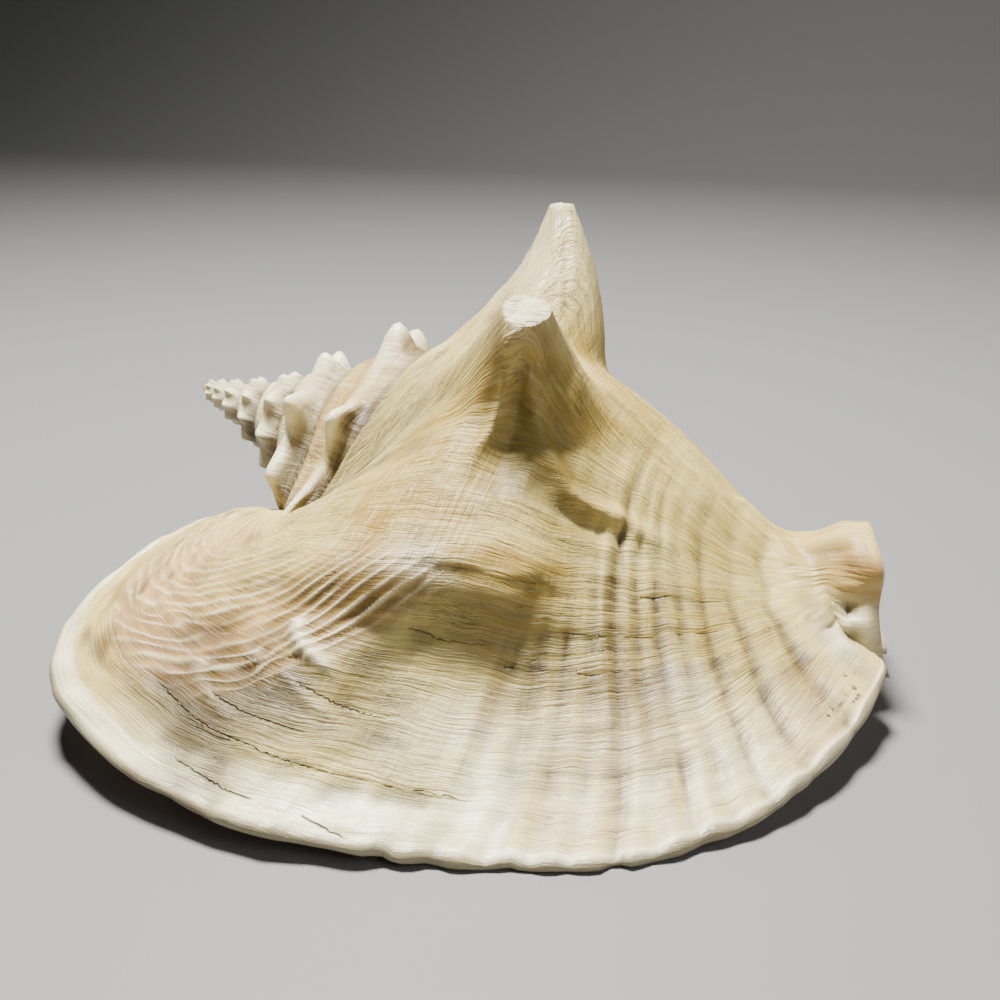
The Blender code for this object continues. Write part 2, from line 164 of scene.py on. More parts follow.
# Lamps: place and size in metres, power in watts and colour; they all aim at one place
LAMPS = [
    ("overhead", (-0.17, 0.15, 1.09), 0.28, 60.0, (1.0, 0.975, 0.90)),
    ("window", (0.95, -0.35, 0.85), 0.7, 4.0, (1.0, 0.98, 0.94))]
LAMP_AIM = (0, 0, 0.03)
FLOOR_COLOUR = (0.175, 0.178, 0.182, 1)
ROOM_COLOUR = (0.90, 0.90, 0.88, 1)
ROOM_LIGHT = 0.055

# Grooves that fan out to the lip's edge: s and depth
GROOVES = [
    (0.37, 0.3), (0.42, 0.5), (0.47, 0.8), (0.52, 0.7), (0.565, 0.6), (0.617, 1.3), (0.66, 0.6),
    (0.702, 0.9), (0.75, 0.5), (0.798, 1.0), (0.85, 0.8), (0.90, 0.9), (0.94, 0.5)]
# Growth lines lean forward towards the canal: s and lean in u
LEAN = np.array([(0.25, 0), (0.5, 0.03), (0.68, 0.07), (0.78, 0.10), (0.93, 0.19), (1.0, 0.22)])
# Steps where the growth paused: u, then s at the low end, the middle and the high end, height and crack
PAUSES = [
    (1.285, 0.42, 0.58, 0.85, 0.5, 0.0), (1.36, 0.30, 0.55, 0.95, 0.4, 0.3),
    (1.455, 0.22, 0.34, 0.62, 1.5, 0.3), (1.45, 0.50, 0.75, 0.97, 0.5, 0.5),
    (1.54, 0.40, 0.62, 0.95, 0.6, 0.6), (1.61, 0.28, 0.42, 0.75, 0.6, 0.4),
    (1.70, 0.40, 0.70, 0.92, 0.35, 0.2), (1.785, 0.30, 0.48, 0.75, 0.4, 0.2),
    (1.862, 0.19, 0.27, 0.50, 0.9, 0.5), (1.92, 0.45, 0.70, 0.92, 0.3, 0.2),
    (1.965, 0.24, 0.34, 0.42, 0.5, 0.0)]
# Nicks in the lip's edge: s, half width in s and depth as a share of the lip
NICKS = [
    (0.366, 0.010, 0.010), (0.415, 0.018, 0.010), (0.497, 0.014, 0.010), (0.622, 0.008, 0.016),
    (0.23, 0.01, 0.005), (0.72, 0.016, 0.008), (0.826, 0.010, 0.008)]
# Ridges and hollows about the spines: points from the apex, half width and height
WELTS = [
    ([(133, -50, 44), (133, -49, 36), (132, -49, 29), (130, -50, 21), (128, -52, 15), (126, -56, 11),
      (125, -62, 6), (121, -72, 1)], 2.0, 2.2),
    ([(136, -49, 38), (135, -49, 27), (135, -50, 18), (133, -54, 10), (134, -60, 4), (138, -65, -1)],
     4.5, -3.4),
    ([(138, -48, 33), (139, -48, 24), (141, -47, 16), (144, -49, 8), (149, -51, 1), (155, -49, -4),
      (162, -44, -9), (170, -41, -14), (178, -36, -17), (186, -32, -20)], 3.0, 2.9),
    ([(141, -46, 35), (143, -45, 26), (145, -44, 16), (148, -42, 10), (153, -39, 6)], 4.2, -2.8),
    ([(143, -57, 6), (146, -55, 3), (152, -53, -5), (159, -49, -10), (165, -46, -14)], 3.6, -2.0),
    ([(142, -47, 47), (143, -46, 42), (144, -43, 37), (145, -41, 32), (146, -38, 27), (148, -35, 22)],
     5.0, -2.6),
    ([(118, 31, 66), (119, 31, 64), (122, 22, 54), (126, 12, 43), (129, 4, 34), (131, -1, 27)], 1.7, 0.9),
    ([(121, 32, 66), (121, 31, 64), (126, 23, 54), (131, 13, 41), (135, 6, 31), (138, 1, 24)], 1.7, 0.9),
    ([(122, 33, 66), (122, 32, 63), (130, 21, 49), (135, 17, 37), (140, 12, 27), (145, 8, 19)], 1.9, 0.8)]
# Bulges, hollows and the cleft of the siphonal canal and its notch, in the same way
CANAL_WELTS = [
    ([(212, -24, -39), (216, -24, -40), (219, -24, -41), (221, -22, -40), (223, -19, -37), (225, -18, -33),
      (227, -17, -29)], 1.3, -1.6),
    ([(211, -24, -39), (215, -24, -40), (218, -25, -42), (221, -26, -43), (225, -26, -45), (229, -24, -46),
      (233, -22, -48)], 2.0, 1.3),
    ([(219, -15, -32), (222, -15, -32), (225, -16, -33), (226, -16, -35)], 4.0, 1.0),
    ([(214, -8, -20), (219, -13, -23), (223, -15, -26), (228, -16, -28)], 3.4, -1.2),
    ([(214, 6, -14), (219, 2, -15), (225, -1, -16), (231, 0, -17)], 5.0, 2.2),
    ([(186, -1, -15), (192, -1, -18), (197, -3, -22), (203, -8, -26), (209, -15, -31), (212, -21, -37)],
     2.2, 1.6),
    ([(200, 2, -22), (206, -4, -24), (213, -12, -29), (216, -19, -36)], 3.2, -1.4),
    ([(222, -19, -35), (225, -19, -38), (228, -19, -40)], 1.2, -0.8)]
# How the swollen lower side of the canal stands out towards the front
CANAL_PUSH = np.array([0.6, -6.0, 0.4])
# Cracks and chips of the lip: u and s along each and how open it is
CRACKS = [
    ([(1.82, 0.180), (1.845, 0.21), (1.854, 0.236), (1.861, 0.278), (1.864, 0.30)], 0.8),
    ([(1.956, 0.298), (1.97, 0.31), (1.993, 0.34)], 0.8),
    ([(1.866, 0.33), (1.861, 0.379), (1.869, 0.458)], 0.5),
    ([(1.785, 0.205), (1.80, 0.235), (1.80, 0.275)], 0.5),
    ([(1.715, 0.245), (1.735, 0.28), (1.74, 0.32)], 0.5),
    ([(1.57, 0.290), (1.575, 0.33), (1.56, 0.38)], 0.4),
    ([(1.93, 0.215), (1.945, 0.245), (1.95, 0.27)], 0.5)]
# Lengths in mm that one u and one s stand for on the lip's left half
LIP_LONG = 130.0
LIP_WIDE = 335.0
# Degrees of growth that the lip stands for
LIP_TURN = 75.0
# Length in mm that one radian of growth stands for on the spire
SPIRE_RUN = 34.0
# Cords counted by the value 1 of their attribute
CORDS_READ = 40.0
# Distance in s from one cord to the next
CORD_STEP = 0.0110
# The layered edges of the pale ridge left of the third hump: u and s along it, half width and height
LAYERS = [
    ([(1.60, 0.222), (1.642, 0.234), (1.665, 0.250), (1.69, 0.275)], 1.7, 1.5),
    ([(1.74, 0.188), (1.79, 0.205), (1.83, 0.235)], 1.4, 0.7),
    ([(1.70, 0.232), (1.745, 0.262), (1.77, 0.295)], 1.6, 0.8),
    ([(1.98, 0.285), (1.965, 0.32), (1.97, 0.36)], 1.6, 0.5)]
# Round stained, dirty and pitted places on the last whorl, a few brown ones partly painted shade: u, s,
# half widths in u and s, and strength.
# Random fields break up the ochre ones, the brown patches and streaks, and the veins of dirt
OCHRE_SPOTS = [
    (1.36, 0.245, 0.12, 0.055, 0.95), (1.18, 0.24, 0.12, 0.07, 0.55), (1.42, 0.38, 0.05, 0.10, 0.75),
    (1.15, 0.45, 0.15, 0.12, 0.45), (0.95, 0.45, 0.25, 0.3, 0.35), (1.1, 0.97, 0.25, 0.05, 0.5),
    (1.55, 0.62, 0.18, 0.2, 0.30), (0.86, 0.22, 0.10, 0.08, 0.35), (1.08, 0.983, 0.11, 0.014, 1.1),
    (1.30, 0.992, 0.05, 0.012, 0.9), (1.84, 0.16, 0.08, 0.05, 0.35)]
BROWN_AND_SHADE_SPOTS = [
    # The first three brown spots are partly a real brown stain and partly painted shade in the valley below
    # the second listed spine
    (1.26, 0.315, 0.05, 0.018, 0.45), (1.22, 0.33, 0.07, 0.04, 0.3), (1.295, 0.335, 0.035, 0.03, 0.3),
    (1.14, 0.37, 0.05, 0.05, 0.35), (1.75, 0.475, 0.10, 0.014, 0.6), (1.69, 0.40, 0.05, 0.012, 0.5),
    (1.40, 0.998, 0.02, 0.006, 0.5), (0.98, 0.965, 0.05, 0.012, 0.8), (1.80, 0.40, 0.08, 0.008, 0.5),
    (1.84, 0.445, 0.08, 0.007, 0.5), (1.86, 0.53, 0.09, 0.008, 0.45), (1.82, 0.56, 0.09, 0.007, 0.45),
    (1.85, 0.68, 0.09, 0.007, 0.5), (1.84, 0.75, 0.09, 0.008, 0.45), (1.765, 0.165, 0.05, 0.010, 0.75),
    (1.79, 0.185, 0.04, 0.008, 0.6), (1.60, 0.245, 0.035, 0.02, 0.5), (0.80, 0.19, 0.05, 0.10, 0.35)]
BROWN_PATCHES = [
    (1.80, 0.89, 0.14, 0.02, 0.6), (1.06, 0.985, 0.08, 0.02, 0.9), (1.70, 0.215, 0.05, 0.02, 0.45)]
BROWN_STREAKS = [(1.28, 0.52, 0.022, 0.10, 0.3), (1.62, 0.44, 0.04, 0.06, 0.25)]
DIRT_VEINS = [
    (1.862, 0.208, 0.045, 0.030, 2.2), (1.80, 0.235, 0.05, 0.03, 0.9), (1.80, 0.315, 0.035, 0.04, 0.85),
    (1.635, 0.285, 0.04, 0.016, 0.8), (1.72, 0.246, 0.035, 0.012, 0.9), (1.71, 0.31, 0.04, 0.04, 0.5)]
PIT_SPOTS = [
    (1.90, 0.918, 0.035, 0.008, 2.2), (1.80, 0.93, 0.03, 0.006, 1.0), (1.87, 0.895, 0.03, 0.01, 1.0)]


def ease(x, low, high):
    """0 below low, 1 above high and a smooth step between them."""
    t = np.clip((x - low) / (high - low), 0, 1)
    return t * t * (3 - 2 * t)


def bell(x, centre, width):
    """1 at the centre, falling on both sides as a bell of this half width."""
    return np.exp(-(((x - centre) / width) ** 2))


def within(x, a, b, c, d):
    """0 below a, 1 from b to c and 0 above d, with smooth steps between them."""
    return ease(x, a, b) * (1 - ease(x, c, d))


def spots(u, s, table):
    """Sum of round spots, each strongest at its own place and falling as a bell along u and along s."""
    total = 0
    for at_u, at_s, wide_u, wide_s, size in table:
        total = total + size * bell(u, at_u, wide_u) * bell(s, at_s, wide_s)
    return total


def hermite(t, y0, y1, m0, m1):
    """Cubic from y0 to y1 that leaves with the slope m0 and arrives with m1."""
    ends = y0 * (1 + 2 * t) * (1 - t) ** 2 + y1 * t * t * (3 - 2 * t)
    return ends + m0 * t * (1 - t) ** 2 - m1 * t * t * (1 - t)


def through(x, knots, values):
    """Smooth curve through values[..., k] at the knots; the last axis of values goes with the knots."""
    step = np.diff(knots)
    slope = np.diff(values, axis=-1) / step
    m = np.empty_like(values)
    m[..., 1:-1] = (slope[..., :-1] * step[1:] + slope[..., 1:] * step[:-1]) / (step[1:] + step[:-1])
    m[..., 0] = slope[..., 0]
    m[..., -1] = slope[..., -1]
    i = np.clip(np.searchsorted(knots, x) - 1, 0, len(knots) - 2)
    t = (x - knots[i]) / step[i]

    def at(table, k):
        """Entry k of the table, for each place its own k."""
        if table.ndim == 1:
            return table[k]
        return np.take_along_axis(table, k[..., None], -1)[..., 0]

    return hermite(t, at(values, i), at(values, i + 1), at(m, i) * step[i], at(m, i + 1) * step[i])


def growth(g, table):
    """Distance from the apex and radius of a line of the spiral, smooth in their logarithms."""
    whorls = (g - 70) / 360
    return [np.exp(through(whorls, table[:, 0], np.log(table[:, k]))) for k in (1, 2)]


def radial(g):
    """Directions straight out from the axis."""
    g = np.radians(np.asarray(g, float))[..., None]
    return np.cos(g) * BEHIND + np.sin(g) * ABOVE


def unit(v):
    """Vectors of length 1 in the same directions."""
    return v / (np.linalg.norm(v, axis=-1, keepdims=True) + 1e-12)


def normals(points):
    """Outward normals of a grid of points (growth, s)."""
    return unit(np.cross(np.gradient(points, axis=0), np.gradient(points, axis=1)))


def waves(x, y, seed):
    """Smooth random field from -1 to 1: seeded values at whole numbers, eased between them."""
    table = np.random.default_rng(seed).uniform(-1, 1, (256, 256))
    i = np.floor(x).astype(int)
    j = np.floor(y).astype(int)
    a = ease(x - i, 0, 1)
    b = ease(y - j, 0, 1)
    near = table[i % 256, j % 256] * (1 - a) + table[(i + 1) % 256, j % 256] * a
    far = table[i % 256, (j + 1) % 256] * (1 - a) + table[(i + 1) % 256, (j + 1) % 256] * a
    return near * (1 - b) + far * b


def even(places, lengths, count):
    """Places that part the running length evenly."""
    run = np.concatenate([[0], np.cumsum(lengths)])
    return np.interp(np.linspace(0, run[-1], count), run, places)


def body(g, s):
    """The whorl's plain surface: a profile from suture over shoulder to canal, turned about the axis."""
    g, s = np.broadcast_arrays(np.asarray(g, float), np.asarray(s, float))
    suture_a, suture_r = growth(g, SUTURE)
    a, r = growth(g, SHOULDER)
    next_a, next_r = growth(np.minimum(g + 360, 190), SUTURE)
    next_a = np.maximum(next_a, suture_a + 7 * ease(g, -280, -200))
    last = ease(g, -170, -120)
    front = 1 - np.sin(np.radians(g))
    neck = (r / 53) ** 0.3
    # The next whorl's suture, or a place on the last whorl's own side where no whorl follows
    below_a = next_a + (a + 13 - next_a) * last
    below_r = next_r + (0.985 * r - next_r) * last
    a = np.minimum(a, 0.35 * suture_a + 0.65 * below_a)
    along = [0.98 * suture_a, suture_a, suture_a + 0.42 * (a - suture_a), a, below_a]
    out = [0.9 * suture_r, suture_r, suture_r + 0.62 * (r - suture_r), r, below_r]
    base_a = [0.5 * below_a + 75, 153, 172, 189, 204 + 4 * front, 224 + 10 * front]
    deep = 1 + 0.15 * front
    base_r = [0.95 * r, 0.85 * r, 0.66 * r, 0.45 * r / neck, 16.5 * neck * deep, 17.5 * neck * deep]
    grown = ease(g, -640, -290)
    # Below that an early whorl runs straight on, and a grown one follows the base down to the canal
    for k in range(6):
        beyond = (SECTION[5 + k] - NEXT_SUTURE) / 0.08
        early_a = below_a + (below_a - a) * beyond
        early_r = below_r + (below_r - r) * beyond
        along.append(early_a + (base_a[k] - early_a) * grown)
        out.append(early_r + (base_r[k] - early_r) * grown)
    a = through(s, SECTION, np.stack(along, -1))[..., None]
    r = through(s, SECTION, np.stack(out, -1))[..., None]
    bend = through(s, SECTION, np.array([0, 0, 0, 0, 0, 0, 1.0, 3.0, 6.0, 10.0, 20.0]))[..., None]
    return APEX + a * AXIS + bend * ABOVE + r * radial(g)


def soft(x, width):
    """x where it is above 0 and 0 below, with a rounded foot."""
    return np.clip(0.5 * (x + np.sqrt(x * x + width * width)) - 0.06 * width, 0, None) * (x > -4 * width)


def spines(points, g):
    """Moves that raise the large spines. Each is a cone over an ellipse of growth angle and distance from
    the apex, cut off at its blunt top, leaning along the axis and bowed between foot and top."""
    from_apex = points - APEX
    a = from_apex @ AXIS
    turn = np.degrees(np.arctan2(from_apex @ ABOVE, from_apex @ BEHIND))
    g = turn + 360 * np.round((g - turn) / 360)
    move = np.zeros(points.shape)
    for centre, along, height, wide, long, top, lean, bow, fall in SPINES:
        d = np.sqrt(((g - centre) / wide) ** 2 + ((a - along) / long) ** 2)
        share = np.minimum(soft(1 - d, 0.12) ** fall / top, 1)
        rise = height * top * share
        move += rise[..., None] * (radial(centre) + lean * AXIS)
        move += (4 * bow * share * (1 - share))[..., None] * AXIS
    return move


def nodules(g, s):
    """Height of the blunt nodules on the shoulder of the older whorls: an even row first, then the listed
    ones. Each falls from its centre as a blunt bell, and where two meet the higher one counts."""
    g, s = np.broadcast_arrays(g, s)
    r = growth(g, SHOULDER)[1]
    across = (s - 0.255) / np.where(s < 0.255, 0.13, 0.11)

    def bump(centre, wide, power):
        """1 at a nodule's centre, falling along growth and across the shoulder."""
        return np.exp(-2.9 * np.hypot((g - centre) / wide, across) ** power)

    even_places = np.round((g + 700) / NODULE_STEP) * NODULE_STEP - 700
    height = np.where(even_places < -690, 0.25 * r * bump(even_places, 17, 1.5), 0)
    for centre, rise in NODULES:
        height = np.maximum(height, NODULE_RISE * rise * bump(centre, 18, 1.55))
    return height * within(s, 0, 0.05, 0.29, NEXT_SUTURE)


def body_with_spines(g, s):
    """The body with its spines, nodules and the pad that the end of the lip is fixed to."""
    g, s = np.broadcast_arrays(np.asarray(g, float), np.asarray(s, float))
    points = body(g, s)
    clear = ease(s, 0, 0.06)[..., None]
    a = (points - APEX) @ AXIS
    pad = 11 * bell(a, 62, 9) * bell(g % 360, 193, 17)
    points = points + pad[..., None] * radial(g)
    return points + clear * spines(points, g) + nodules(g, s)[..., None] * (radial(g) - 0.1 * AXIS)


def lip(t, s):
    """The plain lip: at each s a cubic that leaves the body along its growth and meets the edge. Points and
    growth angle, which runs on evenly over the lip."""
    sheet = [through(s, LIP_SHEET[:, 0], LIP_SHEET[:, k])[..., None] for k in range(1, 8)]
    start = sheet[0][..., 0]
    p0 = body(start, s)
    along = unit(p0 - body(start - 1, s))
    sideways = unit(body(start, s + 0.005) - body(start, s - 0.005))
    d0 = unit(along + sheet[1] * sideways)
    d1 = unit(np.concatenate(sheet[2:5], -1))
    edge = np.maximum(s, 0)
    p1 = APEX + np.stack([through(edge, LIP_EDGE[:, 0], LIP_EDGE[:, k]) for k in (1, 2, 3)], -1)
    span = np.linalg.norm(p1 - p0, axis=-1, keepdims=True)
    points = hermite(t[..., None], p0, p1, d0 * sheet[5] * span, d1 * sheet[6] * span)
    return points, start + LIP_TURN * t


def hump(t, s):
    """Height of the third, low hump: a swell that ends in a ledge, the ridge that runs on from it and the
    hollow beside the ridge."""
    front = t + np.interp(s, LEAN[:, 0], LEAN[:, 1])
    swell = within(front, 0.05, 0.44, 0.47, 0.60) * bell(s, 0.285, np.where(s < 0.285, 0.085, 0.20))
    ridge = within(t, 0.42, 0.55, 0.62, 0.95) * bell(s, 0.25, np.where(s < 0.25, 0.07, 0.035))
    return 8 * swell + 5 * ridge - 3 * bell(s, 0.38, 0.11) * bell(t, 0.66, 0.12)


def canal_lump(u, s):
    """Height of the thick end of the siphonal canal: a rise towards its rim, times a bell along growth."""
    return 3.2 * ease(s, 0.95, 0.98) * bell(u, 1.0, 0.22)


def last_whorl_form(u, s):
    """Plain points of the last whorl and its lip, their outward directions, how far along the lip they lie,
    0 to 1, and the points with spines and hump."""
    nick = sum(depth * bell(s, at, wide) for at, wide, depth in NICKS)
    t = np.clip(u - 1, 0, 1)
    t = t - nick * ease(t, 0.9, 1)
    flare, flare_g = lip(t, s)
    start = through(s, LIP_SHEET[:, 0], LIP_SHEET[:, 1])
    begin = WALL_START + 28 * ease(s, 0.86, 0.97)
    g = np.where(u < 1, begin + (start - begin) * u, flare_g)
    plain = np.where((u < 1)[..., None], body(np.minimum(g, 190), s), flare)
    slant = CANAL_SLANT * np.cos(np.radians(g)) * ease(s, 0.93, 1) * (1 - ease(t, 0, 0.5))
    plain = plain - slant[..., None] * AXIS
    out = normals(plain)
    on_lip = 1 - ease(t, 0.15, 0.5)
    formed = plain + spines(plain, g) * (on_lip * ease(s, 0, 0.06))[..., None]
    height = np.where(u > 1, hump(t, s), 0) + canal_lump(u, s)
    return plain, out, t, formed + height[..., None] * out


def smooth_path(path):
    """Many places along the smooth line through the path's points, and how far along each lies, 0 to 1."""
    path = np.array(path, float)
    knots = np.arange(len(path), dtype=float)
    fine = np.linspace(0, len(path) - 1, 6 * len(path))
    return np.stack([through(fine, knots, path[:, k]) for k in range(path.shape[1])], -1), fine / fine[-1]


def nearest_on(points, path):
    """For each point the nearest place on the smooth line through a path: the vector from that place, the
    share of the line up to there and the line's way there."""
    line, along = smooth_path(path)
    way = np.gradient(line, axis=0)
    least = np.full(points.shape[:-1], 1e9)
    nearest = np.zeros(points.shape[:-1], int)
    for k, spot in enumerate(line):
        gap = ((points - spot) ** 2).sum(-1)
        nearest = np.where(gap < least, k, nearest)
        least = np.minimum(gap, least)
    return points - line[nearest], along[nearest], way[nearest]


def near_path(points, path):
    """How close each point is to the path, as its distance, and a share that fades towards both ends."""
    away, place = nearest_on(points, path)[:2]
    return np.linalg.norm(away, axis=-1), within(place, 0, 0.08, 0.6, 1)


def welts(points, table):
    """Height of the ridges and hollows in a table of paths: each is a bell across its path that fades
    towards both ends."""
    height = np.zeros(points.shape[:-1])
    for path, wide, rise in table:
        gap, share = near_path(points - APEX, path)
        height += rise * share * bell(gap, 0, wide)
    return height


def spread_lip(places):
    """Places given by u and s, laid out in mm on the lip's left half."""
    return np.array(places) * (LIP_LONG, LIP_WIDE)


def lip_layers(u, s):
    """Height of the layered edges on the lip: bells across their paths that fade towards both ends."""
    total = np.zeros(u.shape)
    for path, wide, size in LAYERS:
        gap, share = near_path(spread_lip(np.stack([u, s], -1)), spread_lip(path))
        total += size * np.clip(1.6 * share, 0, 1) * bell(gap, 0, wide)
    return total


def lip_cracks(u, s, past_pause, pause_open):
    """The nearest crack of the lip or split of a growth pause: 0.5 on its line and 0 or 1 at 4 mm to either
    side, then how open it is, 0 to 1, and its distance in mm."""
    flat = spread_lip(np.stack([u, s], -1))
    nearest = np.abs(past_pause)
    side = np.sign(past_pause)
    opened = pause_open
    for path, size in CRACKS:
        away, place, way = nearest_on(flat, spread_lip(path))
        gap = np.linalg.norm(away, axis=-1)
        closer = gap < nearest
        side = np.where(closer, np.sign(away[..., 0] * way[..., 1] - away[..., 1] * way[..., 0]), side)
        opened = np.where(closer, size * within(place, 0, 0.15, 0.8, 1), opened)
        nearest = np.minimum(nearest, gap)
    return np.clip(0.5 + side * nearest / 8, 0, 1), np.clip(opened * (1 - nearest / 3), 0, 1), nearest


def cut_flat(points, place, facing, pull, rough):
    """Breaks a tip off: what stands past the plane is pulled back to it, with a slightly rough face."""
    facing = unit(np.array(facing, float))
    pull = unit(np.array(pull, float))
    past = (points - APEX - np.array(place, float)) @ facing
    near = np.linalg.norm(points - APEX - np.array(place, float), axis=-1) < 26
    uneven = rough * waves(points[..., 0] * 0.45, (points[..., 1] + points[..., 2]) * 0.4, 71)
    depth = np.clip(past + uneven, 0, None) * near
    return points - (depth / (pull @ facing))[..., None] * pull, ease(depth, 0.0, 0.6)


def mesh_piece(name, points, faces, attributes, growth_map):
    """A closed mesh in metres with its point attributes and its map, which holds the run along growth and
    the run along s, given in mm, in units of 100 mm."""
    mesh = bpy.data.meshes.new(name)
    inside_box = np.clip(points * MM, np.array(CAD_BOX[0]), np.array(CAD_BOX[1]))
    mesh.from_pydata(inside_box.tolist(), [], faces)
    for key, values in attributes.items():
        layer = mesh.attributes.new(key, "FLOAT_COLOR", "POINT")
        layer.data.foreach_set("color", np.concatenate([values, np.ones((len(values), 1))], 1).ravel())
    place = np.empty(len(mesh.loops), np.int32)
    mesh.loops.foreach_get("vertex_index", place)
    layer = mesh.uv_layers.new(name="growth_map")
    layer.data.foreach_set("uv", (growth_map * MM * 10)[place].astype(np.float32).ravel())
    shape = bmesh.new()
    shape.from_mesh(mesh)
    bmesh.ops.remove_doubles(shape, verts=shape.verts, dist=1e-6)
    bmesh.ops.dissolve_degenerate(shape, edges=shape.edges, dist=1e-8)
    bmesh.ops.recalc_face_normals(shape, faces=shape.faces)
    shape.to_mesh(mesh)
    shape.free()
    mesh.shade_smooth()
    thing = bpy.data.objects.new(name, mesh)
    bpy.context.scene.collection.objects.link(thing)
    return thing


def grid_faces(rows, columns, first=0):
    """Four-sided faces of a grid stored row by row."""
    corner = first + (np.arange(rows - 1)[:, None] * columns + np.arange(columns - 1)[None, :]).ravel()
    return np.stack([corner, corner + 1, corner + columns + 1, corner + columns], 1).tolist()


def growth_front(u, s):
    """u of the growth line through a place: the lip's edge as it lay when that place was made."""
    lean = np.interp(s, LEAN[:, 0], LEAN[:, 1])
    return u + lean * within(u, 1.0, 1.3, 1.55, 1.95)


def pause_relief(front, s):
    """Growth pauses: each rises slowly towards its line and drops at once after it. Height, how far past
    the nearest line in mm, and how open it is."""
    height = np.zeros(s.shape)
    nearest = np.full(s.shape, 99.0)
    opened = np.zeros(s.shape)
    for k, (at, low, middle, high, rise, split) in enumerate(PAUSES):
        wander = 0.008 * waves(s * 12, s * 0 + k, 31) + 0.004 * waves(s * 40, s * 0 + k, 32)
        past = front - at - wander
        share = within(s, low, middle, middle, high) * (0.7 + 0.5 * waves(s * 26, s * 0 + k, 33))
        height += rise * share * bell(past, 0, np.where(past < 0, 0.042, 0.012))
        gap = LIP_LONG * (past - 0.010)
        opening = split * np.clip(share, 0, 1) * ease(waves(s * 50, s * 0 + k, 34), -0.6, 0.2)
        closer = (np.abs(gap) < np.abs(nearest)) & (opening > 0.03)
        opened = np.where(closer, opening, opened)
        nearest = np.where(closer, gap, nearest)
    return height, nearest, opened


def groove_relief(u, s):
    """Broad ribs between the grooves that fan out to the lip's edge. A rib's height is 1 less the cube of a
    cosine that peaks at the grooves, and a groove is a bell of s. Height and groove."""
    at, depth = np.array(GROOVES).T
    bend = s + 0.005 * waves(u * 9, s * 8, 41) - 0.035 * (1 - ease(u, 0.95, 1.5)) * bell(s, 0.65, 0.08)
    place = np.interp(bend, at, np.arange(len(at)))
    crest = 1 - np.abs(np.cos(np.pi * place)) ** 3
    deep = np.interp(bend, at, depth)
    early = 1.0 + 0.5 * (1 - ease(s, 0.5, 0.62))
    along = ease(u, early - 0.2, early + 0.3) * within(s, 0.36, 0.39, 0.93, 0.95)
    along = along * (0.75 + 0.35 * waves(u * 7, place * 1.1, 42))
    groove = sum(deep_k * bell(bend, place_k, 0.0085) for place_k, deep_k in GROOVES)
    strong = 0.45 + 0.55 * ease(u, 1.25, 1.8)
    return 1.15 * crest * (0.4 + 0.6 * deep) * along * strong, groove * along


def cord_relief(u, s, run):
    """Fine cords that cross the left of the lip: smooth arcs first, then wavy and broken by the growth
    lines. Crests, where the cords are, each from 0 to 1, and the count of cords up to each place."""
    slant = s + 0.30 * (u - 1.5)
    rough = ease(u, 1.56, 1.70)
    wiggle = 0.0014 * waves(run / 9, slant * 60, 51) + rough * 0.0045 * waves(run / 5.5, slant * 70, 52)
    wiggle += rough * 0.0026 * waves(run / 2.9, slant * 90, 53)
    count = (slant + wiggle) / CORD_STEP
    phase = 2 * np.pi * count
    crest = (0.5 + 0.5 * np.cos(phase)) ** 2.6
    uneven = 0.45 * waves(run / 12, slant * 84, 54) + 0.35 * rough * waves(run / 3.6, slant * 84, 55)
    crest = crest * (0.62 + uneven)
    where = within(slant, 0.11, 0.17, 0.285, 0.315) * within(u, 1.40, 1.54, 1.78, 1.87)
    where = where * (0.55 + 0.45 * ease(slant, 0.19, 0.24))
    return np.clip(crest, 0, 1), where, count


def last_whorl_places(count_u, count_s):
    """Even u and s over the last whorl, closer where the cords and the lip lie, and the runs along both
    in mm."""
    coarse_u = np.linspace(0, 2, 161)
    coarse_s = np.concatenate([np.linspace(-0.04, 0.30, 80)[:-1], np.linspace(0.30, 1, 90)])
    grid_u, grid_s = np.meshgrid(coarse_u, coarse_s, indexing="ij")
    rough = last_whorl_form(grid_u, grid_s)[3]
    step_u = np.linalg.norm(np.diff(rough, axis=0), axis=-1)
    step_s = np.linalg.norm(np.diff(rough, axis=1), axis=-1)[64:].mean(0)
    weight_u = 0.45 + 0.35 * ease(coarse_u[1:], 0.50, 0.65) + 0.2 * ease(coarse_u[1:], 0.9, 1.1)
    middle = step_u[:, (coarse_s > 0.2) & (coarse_s < 0.8)].mean(1)
    u = even(coarse_u, middle * weight_u, count_u)
    weight_s = 0.75 + 1.35 * within(coarse_s[1:], 0.09, 0.13, 0.29, 0.35)
    s = even(coarse_s, step_s * weight_s, count_s)
    run_u = np.concatenate([[0], np.cumsum(step_u[:, np.argmin(abs(coarse_s - 0.5))])])
    run_s = np.concatenate([[0], np.cumsum(step_s)])
    return u, s, (coarse_u, run_u), (coarse_s, run_s)


